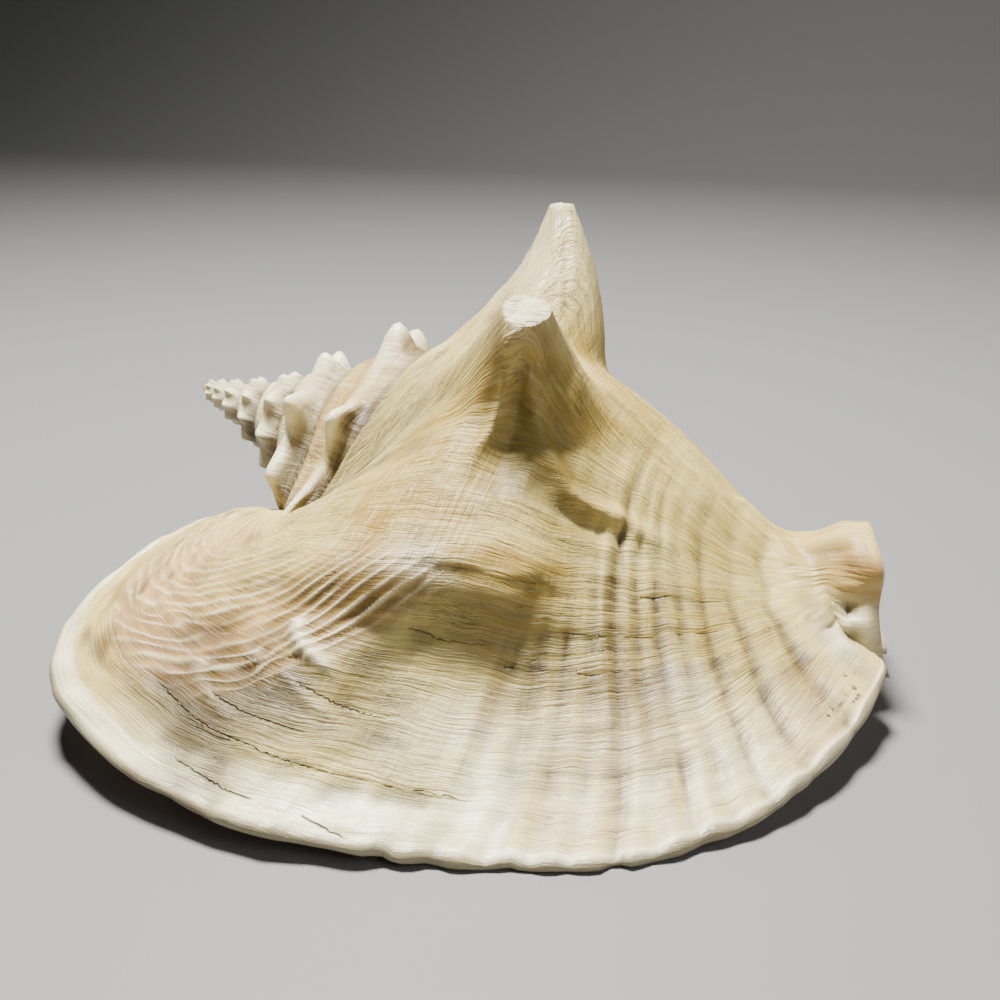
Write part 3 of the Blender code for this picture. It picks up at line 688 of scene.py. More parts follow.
def last_whorl_looks(u, s, run, across, spread, height, broken, marks):
    """Stain, wear and detail of the last whorl's outside, each from 0 to 1: spots and bands at their own u
    and s, broken up by random fields along the growth lines, across them or both. The brown of the stain is
    partly painted shade below a spine and the third hump's ledge, and the dirt of the wear is partly
    painted shade in hollows, on the rim, in the canal and along the suture."""
    corded = marks["corded"]
    hollows = corded * (1 - marks["crest"])
    cloud = 0.5 + 0.5 * waves(run / 18, across / 26, 61)
    patch = 0.5 + 0.5 * waves(run / 7, across / 6, 62)
    streak = 0.5 + 0.5 * waves(run / 26, across / 3.2, 63)
    band = 0.5 + 0.5 * waves(run / 5, across / 40, 64)
    lip_low = ease(u, 1.58, 1.75)

    ochre = (spots(u, s, OCHRE_SPOTS) + 0.8 * hollows) * (0.35 + 0.55 * patch + 0.4 * band)
    brown_and_shade = marks["groove"] * (1.5 * ease(u, 1.25, 1.5) + 0.25) * (0.5 + 0.6 * cloud)
    brown_and_shade += spots(u, s, BROWN_AND_SHADE_SPOTS) + spots(u, s, BROWN_PATCHES) * patch
    brown_and_shade += spots(u, s, BROWN_STREAKS) * streak
    # Partly a real brown stain and partly painted shade just below the third hump's ledge
    brown_and_shade += 0.42 * spots(u, s, [(1.56, 0.335, 0.06, 0.06, 1)]) * (0.6 + 0.5 * band)
    brown_and_shade += 0.45 * within(u, 1.2, 1.5, 1.85, 2.0) * ease(s, 0.34, 0.42) * streak ** 2
    # Partly a real brown band and partly painted shade below the ledge
    brown_and_shade += 0.35 * within(u, 1.48, 1.52, 1.60, 1.68) * within(s, 0.3, 0.36, 0.85, 0.95) * band
    brown_and_shade += 0.5 * bell(s, 0.655, 0.012) * within(u, 1.30, 1.45, 1.60, 1.8) * cloud
    brown_and_shade += 0.5 * bell(s, 0.575, 0.010) * within(u, 1.35, 1.5, 1.60, 1.8) * cloud
    brown_and_shade += 2.4 * bell(s, 0.606, 0.013) * within(u, 1.25, 1.42, 1.66, 1.9) * (0.4 + 0.6 * cloud)
    brown_and_shade += 0.85 * hollows * (0.3 + 0.7 * patch)
    peach = 0.75 * bell(u, 1.56, 0.20) * bell(s, 0.115, 0.035) * (0.6 + 0.5 * cloud)
    peach += spots(u, s, [(1.75, 0.16, 0.12, 0.05, 0.45), (1.1, 0.985, 0.3, 0.04, 0.35)])
    peach += 0.55 * hollows * (1 - patch) + 0.35 * lip_low * patch * ease(s, 0.45, 0.55)

    white = [
        ease(u, 1.86, 1.91) * (1 - ease(s, 0.38, 0.52)) * ease(s, 0.17, 0.225) * (0.55 + 0.55 * cloud),
        0.85 * ease(u, 1.955, 1.985) * (1 - ease(s, 0.93, 0.97)),
        0.9 * ease(u, 1.925, 1.955) * (1 - ease(s, 0.25, 0.30)),
        0.95 * ease(u, 1.68, 1.8) * within(s, 0.34, 0.42, 0.86, 0.92) * (1 - streak) ** 2,
        0.5 * lip_low * within(s, 0.28, 0.36, 0.7, 0.9) * cloud,
        0.55 * spots(u, s, [(1.82, 0.80, 0.16, 0.10, 1)]) * (0.5 + 0.7 * streak),
        spots(u, s, [(1.463, 0.28, 0.03, 0.02, 0.85)]), spots(u, s, [(1.66, 0.943, 0.13, 0.014, 0.95)]),
        spots(u, s, [(1.55, 0.985, 0.20, 0.02, 0.9)]), spots(u, s, [(1.62, 0.72, 0.10, 0.06, 0.45)]),
        0.6 * corded * marks["crest"] ** 2, 0.8 * marks["layer"] / 1.5, 0.55 * ease(height, 92, 128),
        broken]
    # Painted shade: darker where the fine relief sinks into hollows
    dirt_and_shade = np.clip(-marks["relief"] * 0.5 - 0.05, 0, 0.6)
    dirt_and_shade += 0.30 * bell(u, 1.76, 0.07) * bell(s, 0.23, 0.045) * (0.5 + band)
    vein = 0.25 + 0.85 * band * patch + 0.35 * band
    dirt_and_shade += spots(u, s, DIRT_VEINS) * vein + spots(u, s, [(1.91, 0.225, 0.03, 0.02, 0.5)]) * vein * patch
    # Painted shade on the lip's rounded rim and in the hollows of the canal's end
    dirt_and_shade += 0.45 * ease(u, 1.982, 2.0) + 0.15 * np.clip(-marks["canal_lift"], 0, 1.6) * (0.3 + 0.7 * patch)
    # Painted shade, with a little real dirt, below the third hump's ledge
    dirt_and_shade += 0.26 * bell(u, 1.54, 0.055) * bell(s, 0.40, 0.13) * (0.4 + 0.8 * band)
    # Painted shade in the crease of the last suture and beside it
    dirt_and_shade += 0.8 * bell(s, 0.0, 0.006) * ease(u, 0.3, 0.6)
    dirt_and_shade += 0.35 * bell(u, 1.0, 0.3) * bell(s, 0.03, 0.02) * streak
    brown_and_shade = 1 - (1 - np.clip(brown_and_shade, 0, 1)) ** 1.6
    dirt_and_shade = 1 - (1 - np.clip(dirt_and_shade, 0, 1)) ** 2.2
    stain_and_shade = np.stack([ochre, brown_and_shade, peach], -1)
    wear_and_shade = np.stack([dirt_and_shade, np.max(white, axis=0), broken], -1)

    threads = within(s, 0.0, 0.02, 0.14, 0.22) * within(u, 0.7, 0.95, 1.3, 1.45)
    threads = np.maximum(threads, 0.9 * bell(u, 1.36, 0.14) * bell(s, 0.25, 0.07))
    wrinkled = within(u, 0.7, 0.86, 1.22, 1.38) * (1 - ease(s, 0.07, 0.20))
    lined = np.clip(spread, 0.15, 1) * (1 - 0.6 * ease(s, 0.89, 0.94)) + 1.1 * wrinkled
    lined *= (1 - 0.35 * lip_low * ease(s, 0.36, 0.45)) * (1 - 0.65 * corded)
    lined *= 1 - 0.85 * bell(u, 1.15, 0.25) * bell(s, 0.935, 0.03)
    lined *= 1 - 0.55 * ease(u, 1.84, 1.90) * (1 - ease(s, 0.42, 0.60))
    detail = np.stack([lined / 2, threads, spots(u, s, PIT_SPOTS)], -1)
    return np.clip(stain_and_shade, 0, 1), np.clip(wear_and_shade, 0, 1), np.clip(detail, 0, 1)


def last_whorl_relief(u, s, front, run, across, spread, formed):
    """Height in mm of all that is fine on the last whorl's outside: growth lines and pauses, ribs, cords,
    layered edges, cracks, dents, beads and the lumps of the canal's end. Then the marks that the finish
    follows, and the cracks with the count of cords."""
    lines = 0.26 * waves(run / 6.5, across / 60, 1) + 0.16 * waves(run / 3.3, across / 45, 2)
    lines += 0.30 * waves(run / 15, across / 80, 3) + 0.10 * waves(run / 2.0, across / 30, 4)
    pause, past_pause, pause_open = pause_relief(front, s)
    rib, groove = groove_relief(u, s)
    crest, corded, cord_count = cord_relief(u, s, run)
    crack_side, crack_open, gap = lip_cracks(u, s, past_pause, pause_open)
    layer = lip_layers(u, s)
    dents = 0.45 * waves(run / 9, across / 9, 5) + 0.22 * waves(run / 4, across / 4, 6)
    beads = 0.55 * waves(run / 3.4, across / 6, 9) * within(u, 1.52, 1.66, 1.95, 1.99)
    beads = beads * (1 - ease(u, 1.84, 1.90) * ease(s, 0.165, 0.20))
    beads = beads * (1 - ease(s + 0.30 * (u - 1.5), 0.27, 0.31))
    worn_rim = ease(u, 1.84, 1.90) * (1 - ease(s, 0.42, 0.60))
    end = ease(s, 0.925, 0.96) * (1 - 0.7 * ease(u, 1.5, 1.9))
    x = formed[..., 0]
    level = formed[..., 1] - formed[..., 2]
    lumps = end * (0.9 * waves(x / 9, level / 11, 7) + 0.5 * waves(x / 4, level / 5, 8))
    calm = (1 - 0.8 * ease(s, 0.89, 0.94)) * (1 - 0.5 * worn_rim)
    relief = lines * spread ** 1.5 * calm * (1 - 0.5 * corded) + pause + 1.2 * rib - 0.8 * groove
    relief += 0.8 * corded * (crest - 0.35) + layer - 0.5 * crack_open * bell(gap, 0, 1.0)
    relief += dents * (0.5 + 0.5 * ease(u, 1.3, 1.6) + 1.3 * worn_rim) + beads + lumps
    relief = relief * within(s, 0.0, 0.03, 0.985, 1.0) * ease(u, 0.02, 0.06)
    marks = {"relief": relief, "groove": groove, "corded": corded, "crest": crest, "layer": layer}
    return relief, marks, np.stack([crack_side, crack_open, cord_count / CORDS_READ], -1)


def close_sheet(outside, inside, keep):
    """Points and faces of a closed sheet: the outside, a half round rim past its last row, and the rows of
    the inside named in keep. The sheet's two sides and its first row are closed with faces."""
    ahead = unit(outside[-1] - outside[-2])
    across_edge = unit(outside[-1] - inside[-1])
    centre = 0.5 * (outside[-1] + inside[-1])
    half = 0.5 * np.linalg.norm(outside[-1] - inside[-1], axis=-1)[:, None]
    rim = [centre + half * (np.cos(a) * across_edge + RIM_BULGE * np.sin(a) * ahead) for a in RIM_TURNS]
    points = np.concatenate([outside, np.stack(rim), inside[keep[::-1]]])
    total, width = points.shape[:2]
    faces = grid_faces(total, width)
    rim_row = len(outside)
    inside_row = rim_row + len(rim)
    back = {int(k): inside_row + n for n, k in enumerate(keep[::-1])}
    for side in (0, width - 1):
        for low, high in zip(keep[:-1], keep[1:]):
            ring = [k * width + side for k in range(low, high + 1)]
            faces.append(ring + [back[high] * width + side, back[low] * width + side])
        faces.append([k * width + side for k in range(rim_row - 1, inside_row + 1)])
    last = (total - 1) * width
    faces += [[j, j + 1, last + j + 1, last + j] for j in range(width - 1)]
    return points, faces


def last_whorl():
    """The last whorl with the flared lip: a closed sheet, fine outside and plainer inside. Its inside is
    the plain whorl moved inwards by the wall's thickness."""
    rows, columns, (u_knots, run_u), (s_knots, run_s) = last_whorl_places(330, 254)
    u, s = np.meshgrid(rows, columns, indexing="ij")
    plain, out, t, formed = last_whorl_form(u, s)
    plain[:, 0] = plain[:, 1] + 0.7 * (plain[:, 1] - plain[:, 2])
    front = growth_front(u, s)
    run = np.interp(front, u_knots, run_u)
    across = np.interp(s, s_knots, run_s)
    pad = within(u, 1.27, 1.55, 1.85, 2.0) * ease(s, 0.960, 0.980) * (1 - 0.5 * ease(s, 0.99, 1.0))
    formed = formed + pad[..., None] * CANAL_PUSH
    canal_lift = welts(formed, CANAL_WELTS)
    formed = formed + (welts(formed, WELTS) + canal_lift)[..., None] * normals(formed)
    skin = normals(formed)
    spread = np.linalg.norm(np.gradient(formed, axis=0), axis=-1) / np.gradient(run, axis=0).clip(0.05)
    spread = np.clip(spread, 0, 1)
    relief, marks, cracks = last_whorl_relief(u, s, front, run, across, spread, formed)
    marks["canal_lift"] = canal_lift
    rounding = 1.1 * ease(s, 0.98, 1)
    formed = formed - rounding[..., None] * out
    outside = formed + relief[..., None] * skin
    outside, broken_1 = cut_flat(outside, (118.5, 33.5, 63.2), (-0.1, 0.25, 1), (0, 0.3, 1), 0.3)
    outside, broken_2 = cut_flat(outside, (135.4, -45.4, 46.3), (0.15, -0.55, 0.82), (0, -0.4, 1), 0.5)
    broken = np.maximum(broken_1, broken_2)

    thick = WALL_BODY + (WALL_LIP - WALL_BODY) * ease(t, 0.1, 0.8)
    thick = thick * (0.3 + 0.7 * ease(s + 0.12 * (1 - t), 0, 0.1))
    thick = thick * (1 - 0.5 * bell(s, 0.957, 0.014) * ease(t, 0.1, 0.5))
    inside = plain - (thick - rounding)[..., None] * out
    inside[..., 2] = np.maximum(inside[..., 2], INSIDE_CLEAR * within(u, 0.0, 0.01, 1.8, 1.95))
    keep = np.concatenate([np.arange(0, len(rows) - 1, 6), [len(rows) - 1]])
    points, faces = close_sheet(outside, inside, keep)

    stain_and_shade, wear_and_shade, detail = last_whorl_looks(u, s, run, across, spread, formed[..., 2], broken, marks)
    beaded = 0.35 + 0.35 * waves(run / 14, across / 12, 56) + 0.6 * waves(run / 3.0, across / 3.4, 55)
    cords = np.stack([0 * u, np.clip(marks["corded"] * beaded, 0, 1), 0 * u], -1)

    def whole(values, fill):
        """Spreads a value over rim and inside: the rim takes the edge's value, the inside its own."""
        edge = np.repeat(values[-1:], len(RIM_TURNS), 0)
        back_rows = np.broadcast_to(np.array(fill, float), (len(keep),) + values.shape[1:])
        return np.concatenate([values, edge, back_rows]).reshape(-1, 3)

    attributes = {
        "stain_and_shade": whole(stain_and_shade, (0.0, 0.0, 0.55)), "wear_and_shade": whole(wear_and_shade, (0.0, 0.35, 0.0)),
        "detail": whole(detail, (0.03, 0.0, 0.0)), "porcelain": whole(cords, (1.0, 0.0, 0.0)),
        "cracks": whole(cracks, (0.0, 0.0, 0.0))}
    run_all = np.concatenate([run, np.repeat(run[-1:], len(RIM_TURNS), 0) + 1.0, run[keep[::-1]]])
    across_all = np.concatenate([across, np.repeat(across[-1:], len(RIM_TURNS), 0), across[keep[::-1]]])
    growth_map = np.stack([run_all, across_all], -1).reshape(-1, 2)
    return mesh_piece("last_whorl", points.reshape(-1, 3), faces, attributes, growth_map)


def spire_relief(angle, s):
    """Height in mm of the keel, growth lines, cords and lumps of the older whorls, less on small whorls."""
    angle, s = np.broadcast_arrays(angle, s)
    r = growth(angle, SHOULDER)[1]
    size = np.clip(r / 35, 0.02, 1)
    run = np.radians(angle) * SPIRE_RUN
    open_s = within(s, 0.004, 0.03, 0.325, NEXT_SUTURE)
    lines = 0.12 * waves(run / 3.2, s * 9, 11) + 0.2 * waves(run / 8, s * 6, 12)
    cords = 0.05 * np.cos(2 * np.pi * s / 0.043 + 1.5 * waves(run / 9, s * 5, 13))
    lumps = 0.3 * waves(run / 7, s * 16, 14)
    keel = 0.7 * bell(s, 0.25, 0.05)
    waist = 1.3 * bell(s, 0.315, 0.02) + 1.0 * bell(s, 0.13, 0.05)
    return size * open_s * (lines + cords + lumps + keel - waist)


def spire_looks(angle, s):
    """Stain, wear, detail, porcelain and cracks of the older whorls, 0 where there is none. Beyond the next
    suture they are those of the inner lip. There are no cracks here. The tan of the stain is partly painted
    shade, and the dirt of the wear is painted shade, in the sutures, below the shoulder and on the whorls'
    lower side."""
    angle, s = np.broadcast_arrays(angle, s)
    size = np.clip(growth(angle, SHOULDER)[1] / 35, 0.02, 1)
    run = np.radians(angle) * SPIRE_RUN
    lump = nodules(angle, s) / (0.25 * growth(angle, SHOULDER)[1])
    inner = ease(s, NEXT_SUTURE, NEXT_SUTURE + 0.02)
    cloud = 0.5 + 0.5 * waves(run / 12, s * 12, 21)
    late = ease(angle, -420, -260)
    grown = ease(size, 0.12, 0.3)
    yellow = 0.9 * bell(s, 0.12, 0.08) * (0.3 + 0.7 * cloud) + 0.55 * late * (1 - bell(s, 0.25, 0.05))
    # Tan below the shoulder: partly real tan and partly painted shade where the whorl turns under
    tan_and_shade = (1.1 * bell(s, 0.315, 0.05) + 0.5 * bell(s, 0.02, 0.03)) * (0.6 + 0.5 * cloud) * grown
    peach = 0.12 * cloud + 0.48 * inner
    # Painted shade on the lower side of the whorls, which faces down
    painted_underside_shade = ease(-np.sin(np.radians(angle)), -0.35, 0.5) * (1 - inner)
    tan_and_shade = tan_and_shade + 0.55 * painted_underside_shade * (0.5 + 0.5 * cloud) * grown
    white = np.clip(0.38 + 0.9 * lump - 0.4 * tan_and_shade - 0.30 * late, 0, 1)
    stain_and_shade = np.stack([yellow * size * (1 - inner), tan_and_shade * (1 - inner), peach], -1)
    # Painted shade in the sutures, below the shoulder and on the lower side
    dirt_and_shade = 0.8 * bell(s, NEXT_SUTURE, 0.014) + 0.5 * bell(s, 0, 0.012)
    dirt_and_shade = dirt_and_shade + (0.65 * bell(s, 0.315, 0.035) + 0.45 * painted_underside_shade) * cloud
    wear_and_shade = np.stack([dirt_and_shade * (1 - inner) * ease(size, 0.08, 0.3), white, 0 * s], -1)
    detail = np.stack([0.25 * (1 - inner) + 0.03, 0.3 * (1 - inner), 0 * s], -1)
    porcelain = np.stack([inner, 0 * inner, 0 * inner], -1)
    return [part.reshape(-1, 3) for part in (stain_and_shade, wear_and_shade, detail, porcelain, 0 * stain_and_shade)]


def spire():
    """The spire and the pillar: a grid of the older whorls from the tip on, down to the next suture, and a
    grid of one more turn that runs on to the pillar's end. The second is the solid heart in the last whorl:
    it carries the callus, sinks below the wall that covers it and narrows towards the pillar's line."""
    shown = np.linspace(0, NEXT_SUTURE, 26)
    full = np.concatenate([shown, np.linspace(0.355, 0.85, 40), [0.865, 0.88, 0.90, 0.92, 0.945]])
    fine = 1.5
    first = CORE_END - 7 * 360
    turn = np.arange(first, CORE_END - 360 + 0.1, fine)[:, None]
    g = np.arange(CORE_END - 360, CORE_END + 0.1, fine)[:, None]
    upper = body_with_spines(turn, shown[None, :])
    last = body_with_spines(g, full[None, :])
    skin = normals(last)
    upper = upper + spire_relief(turn, shown[None, :])[..., None] * normals(upper)
    lift = np.where(full[None, :] > NEXT_SUTURE, 0, spire_relief(g, full[None, :]))
    last = last + lift[..., None] * skin
    beyond_suture = full[None, :] > 0.01
    sunk = np.where(g < CALLUS_END - 1, CALLUS * ease(g, -190, -150), -COVERED_DEEP) * beyond_suture
    last = last + sunk[..., None] * skin
    plain = body(g, full[None, :])
    hidden = ease(g, -105, -80)[..., None]
    last = last + (plain - COVERED_DEEP * normals(plain) * beyond_suture[..., None] - last) * hidden
    older = body(g - 360, np.maximum(full, NEXT_SUTURE)[None, :])
    let_go = ease(g, CAVITY_START, CORE_END)[..., None]
    last = last + (older - last) * let_go
    line = body(PILLAR_LINE + np.array([[-1], [0], [1]]), full[None, :])
    line = (line - PILLAR_DEEP * normals(line))[1]
    narrow = np.interp(full, [0.85, 0.90, 0.945], [1, 0.74, 0.42])[:, None]
    last = line + (last - line) * narrow
    tip = APEX + np.array([[-0.6, 0, 0]])
    pillar_end = line[-1:] + PILLAR_TIP * AXIS
    points = np.concatenate([upper.reshape(-1, 3), last.reshape(-1, 3), tip, pillar_end])
    base = upper.shape[0] * upper.shape[1]
    faces = grid_faces(*upper.shape[:2]) + grid_faces(*last.shape[:2], base)
    tip_at = len(points) - 2
    round_turn = int(360 / fine)
    step = len(shown)
    faces += [(tip_at, j * step, (j + 1) * step) for j in range(round_turn)]
    faces += [(tip_at, i, i + 1) for i in range(step - 1)]
    end = base + len(full) - 1
    faces += [(tip_at + 1, end + (j + 1) * len(full), end + j * len(full)) for j in range(round_turn)]

    parts = zip(spire_looks(turn, shown[None, :]), spire_looks(g, full[None, :]))
    tail = np.zeros((2, 3))
    keys = ("stain_and_shade", "wear_and_shade", "detail", "porcelain", "cracks")
    attributes = {key: np.concatenate([a, b, tail]) for key, (a, b) in zip(keys, parts)}
    maps = []
    for angle, s in ((turn, shown[None, :]), (g, full[None, :])):
        angle, s = np.broadcast_arrays(angle, s)
        size = growth(angle, SHOULDER)[1]
        maps.append(np.stack([np.radians(angle) * SPIRE_RUN, s * 3.2 * size], -1).reshape(-1, 2))
    growth_map = np.concatenate(maps + [np.zeros((2, 2))])
    points[:, 2] = np.maximum(points[:, 2], PILLAR_CLEAR)
    return mesh_piece("spire", points, faces, attributes, growth_map)


def feed(tree, socket, value):
    """Links another node's output to the socket, or sets a constant on the socket itself."""
    if isinstance(value, bpy.types.NodeSocket):
        tree.links.new(value, socket)
    else:
        socket.default_value = value


def math_node(tree, operation, first, second=0.0, third=0.0, clamp=False):
    """Result of one arithmetic operation, kept from 0 to 1 if clamp is true."""
    node = tree.nodes.new("ShaderNodeMath")
    node.operation = operation
    node.use_clamp = clamp
    for socket, value in zip(node.inputs, (first, second, third)):
        feed(tree, socket, value)
    return node.outputs[0]


def mix_colour(tree, share, first, second):
    """The first colour where share is 0, the second where it is 1 and blends between them."""
    node = tree.nodes.new("ShaderNodeMix")
    node.data_type = "RGBA"
    for socket, value in ((node.inputs[0], share), (node.inputs[6], first), (node.inputs[7], second)):
        feed(tree, socket, value)
    return node.outputs[2]


def stretched_noise(tree, vector, scale, detail=3.0, rough=0.55):
    """Noise whose three scales are for the run along growth, the run along s and the depth."""
    placed = tree.nodes.new("ShaderNodeMapping")
    placed.inputs["Scale"].default_value = scale
    tree.links.new(vector, placed.inputs["Vector"])
    noise = tree.nodes.new("ShaderNodeTexNoise")
    noise.inputs["Scale"].default_value = 1.0
    noise.inputs["Detail"].default_value = detail
    noise.inputs["Roughness"].default_value = rough
    tree.links.new(placed.outputs[0], noise.inputs["Vector"])
    return noise.outputs["Fac"]


def ramp(tree, value, low, high):
    """0 below low and 1 above high, smooth between them."""
    node = tree.nodes.new("ShaderNodeMapRange")
    node.interpolation_type = "SMOOTHSTEP"
    node.inputs["From Min"].default_value = low
    node.inputs["From Max"].default_value = high
    tree.links.new(value, node.inputs["Value"])
    return node.outputs[0]


def bent(tree, vector, scale, amount):
    """The map bent to and fro by a noise, so that lines along it waver."""
    noise = stretched_noise(tree, vector, scale, 2.0)
    shift = math_node(tree, "MULTIPLY", math_node(tree, "SUBTRACT", noise, 0.5), amount)
    joined = tree.nodes.new("ShaderNodeCombineXYZ")
    tree.links.new(shift, joined.inputs[0])
    tree.links.new(math_node(tree, "MULTIPLY", shift, 0.5), joined.inputs[1])
    add = tree.nodes.new("ShaderNodeVectorMath")
    tree.links.new(vector, add.inputs[0])
    tree.links.new(joined.outputs[0], add.inputs[1])
    return add.outputs[0]


def thin_lines(tree, noise, width):
    """1 on thin lines where the noise passes its middle and 0 away from them."""
    away = math_node(tree, "ABSOLUTE", math_node(tree, "SUBTRACT", noise, 0.5))
    return math_node(tree, "SUBTRACT", 1.0, ramp(tree, away, 0.0, width))


def lines_group():
    """Growth lines, spiral threads and grain of a shell, as masks and one height in mm."""
    group = bpy.data.node_groups.new("shell_lines", "ShaderNodeTree")
    face = group.interface
    face.new_socket("Growth", in_out="INPUT", socket_type="NodeSocketFloat")
    face.new_socket("Threads", in_out="INPUT", socket_type="NodeSocketFloat")
    shades = ("Height", "Growth Shade", "Fine Shade", "Cloud")
    for name in shades + ("Dark Lines", "Pale Threads", "Speck", "Pits"):
        face.new_socket(name, in_out="OUTPUT", socket_type="NodeSocketFloat")
    entry = group.nodes.new("NodeGroupInput")
    leave = group.nodes.new("NodeGroupOutput")
    strength, thread_strength = entry.outputs["Growth"], entry.outputs["Threads"]
    flat = group.nodes.new("ShaderNodeUVMap")
    flat.uv_map = "growth_map"
    place = group.nodes.new("ShaderNodeTexCoord").outputs["Object"]
    uv = bent(group, bent(group, flat.outputs[0], (1.6, 2.4, 1.0), 0.075), (7.0, 8.0, 1.0), 0.022)
    broad = stretched_noise(group, uv, (30.0, 1.8, 1.0), 4.0, 0.6)
    fine = stretched_noise(group, uv, (105.0, 4.5, 1.0), 3.0, 0.6)
    hair = stretched_noise(group, uv, (280.0, 14.0, 1.0), 2.0, 0.5)
    thread = stretched_noise(group, uv, (3.5, 70.0, 1.0), 1.5, 0.45)
    spiral = stretched_noise(group, uv, (5.0, 60.0, 1.0), 2.0, 0.5)
    grain = stretched_noise(group, place, (900.0, 900.0, 900.0), 3.0, 0.6)
    pits = stretched_noise(group, place, (260.0, 260.0, 260.0), 2.0, 0.5)
    cloud = stretched_noise(group, place, (38.0, 38.0, 38.0), 4.0, 0.6)
    broad_lines = thin_lines(group, stretched_noise(group, uv, (36.0, 3.4, 1.0), 3.0, 0.65), 0.024)
    fine_lines = thin_lines(group, stretched_noise(group, uv, (85.0, 9.0, 1.0), 2.0, 0.6), 0.035)
    often = ramp(group, stretched_noise(group, uv, (8.0, 6.0, 1.0), 4.0, 0.65), 0.45, 0.63)
    dark = math_node(group, "MAXIMUM", broad_lines, math_node(group, "MULTIPLY", fine_lines, 0.6))
    dark = math_node(group, "MULTIPLY", dark, often)
    dark = math_node(group, "MULTIPLY", dark, strength)
    pale = math_node(group, "MULTIPLY", thin_lines(group, thread, 0.035), thread_strength, clamp=True)

    parts = [
        (broad, 0.60, strength), (fine, 0.70, strength), (hair, 0.22, strength), (dark, -0.16, None),
        (spiral, 0.20, strength), (thread, 0.8, thread_strength), (pale, 0.10, None), (grain, 0.07, None),
        (ramp(group, pits, 0.30, 0.22), -0.12, None)]
    height = None
    for value, size, share in parts:
        value = math_node(group, "MULTIPLY", value, size)
        if share is not None:
            value = math_node(group, "MULTIPLY", value, share)
        height = value if height is None else math_node(group, "ADD", height, value)
    group.links.new(height, leave.inputs["Height"])
    group.links.new(ramp(group, broad, 0.35, 0.65), leave.inputs["Growth Shade"])
    group.links.new(ramp(group, fine, 0.35, 0.65), leave.inputs["Fine Shade"])
    group.links.new(ramp(group, cloud, 0.35, 0.66), leave.inputs["Cloud"])
    group.links.new(dark, leave.inputs["Dark Lines"])
    group.links.new(pale, leave.inputs["Pale Threads"])
    group.links.new(ramp(group, pits, 0.27, 0.20), leave.inputs["Speck"])
    holes = stretched_noise(group, place, (520.0, 520.0, 520.0), 1.0, 0.4)
    group.links.new(ramp(group, holes, 0.42, 0.36), leave.inputs["Pits"])
    return group


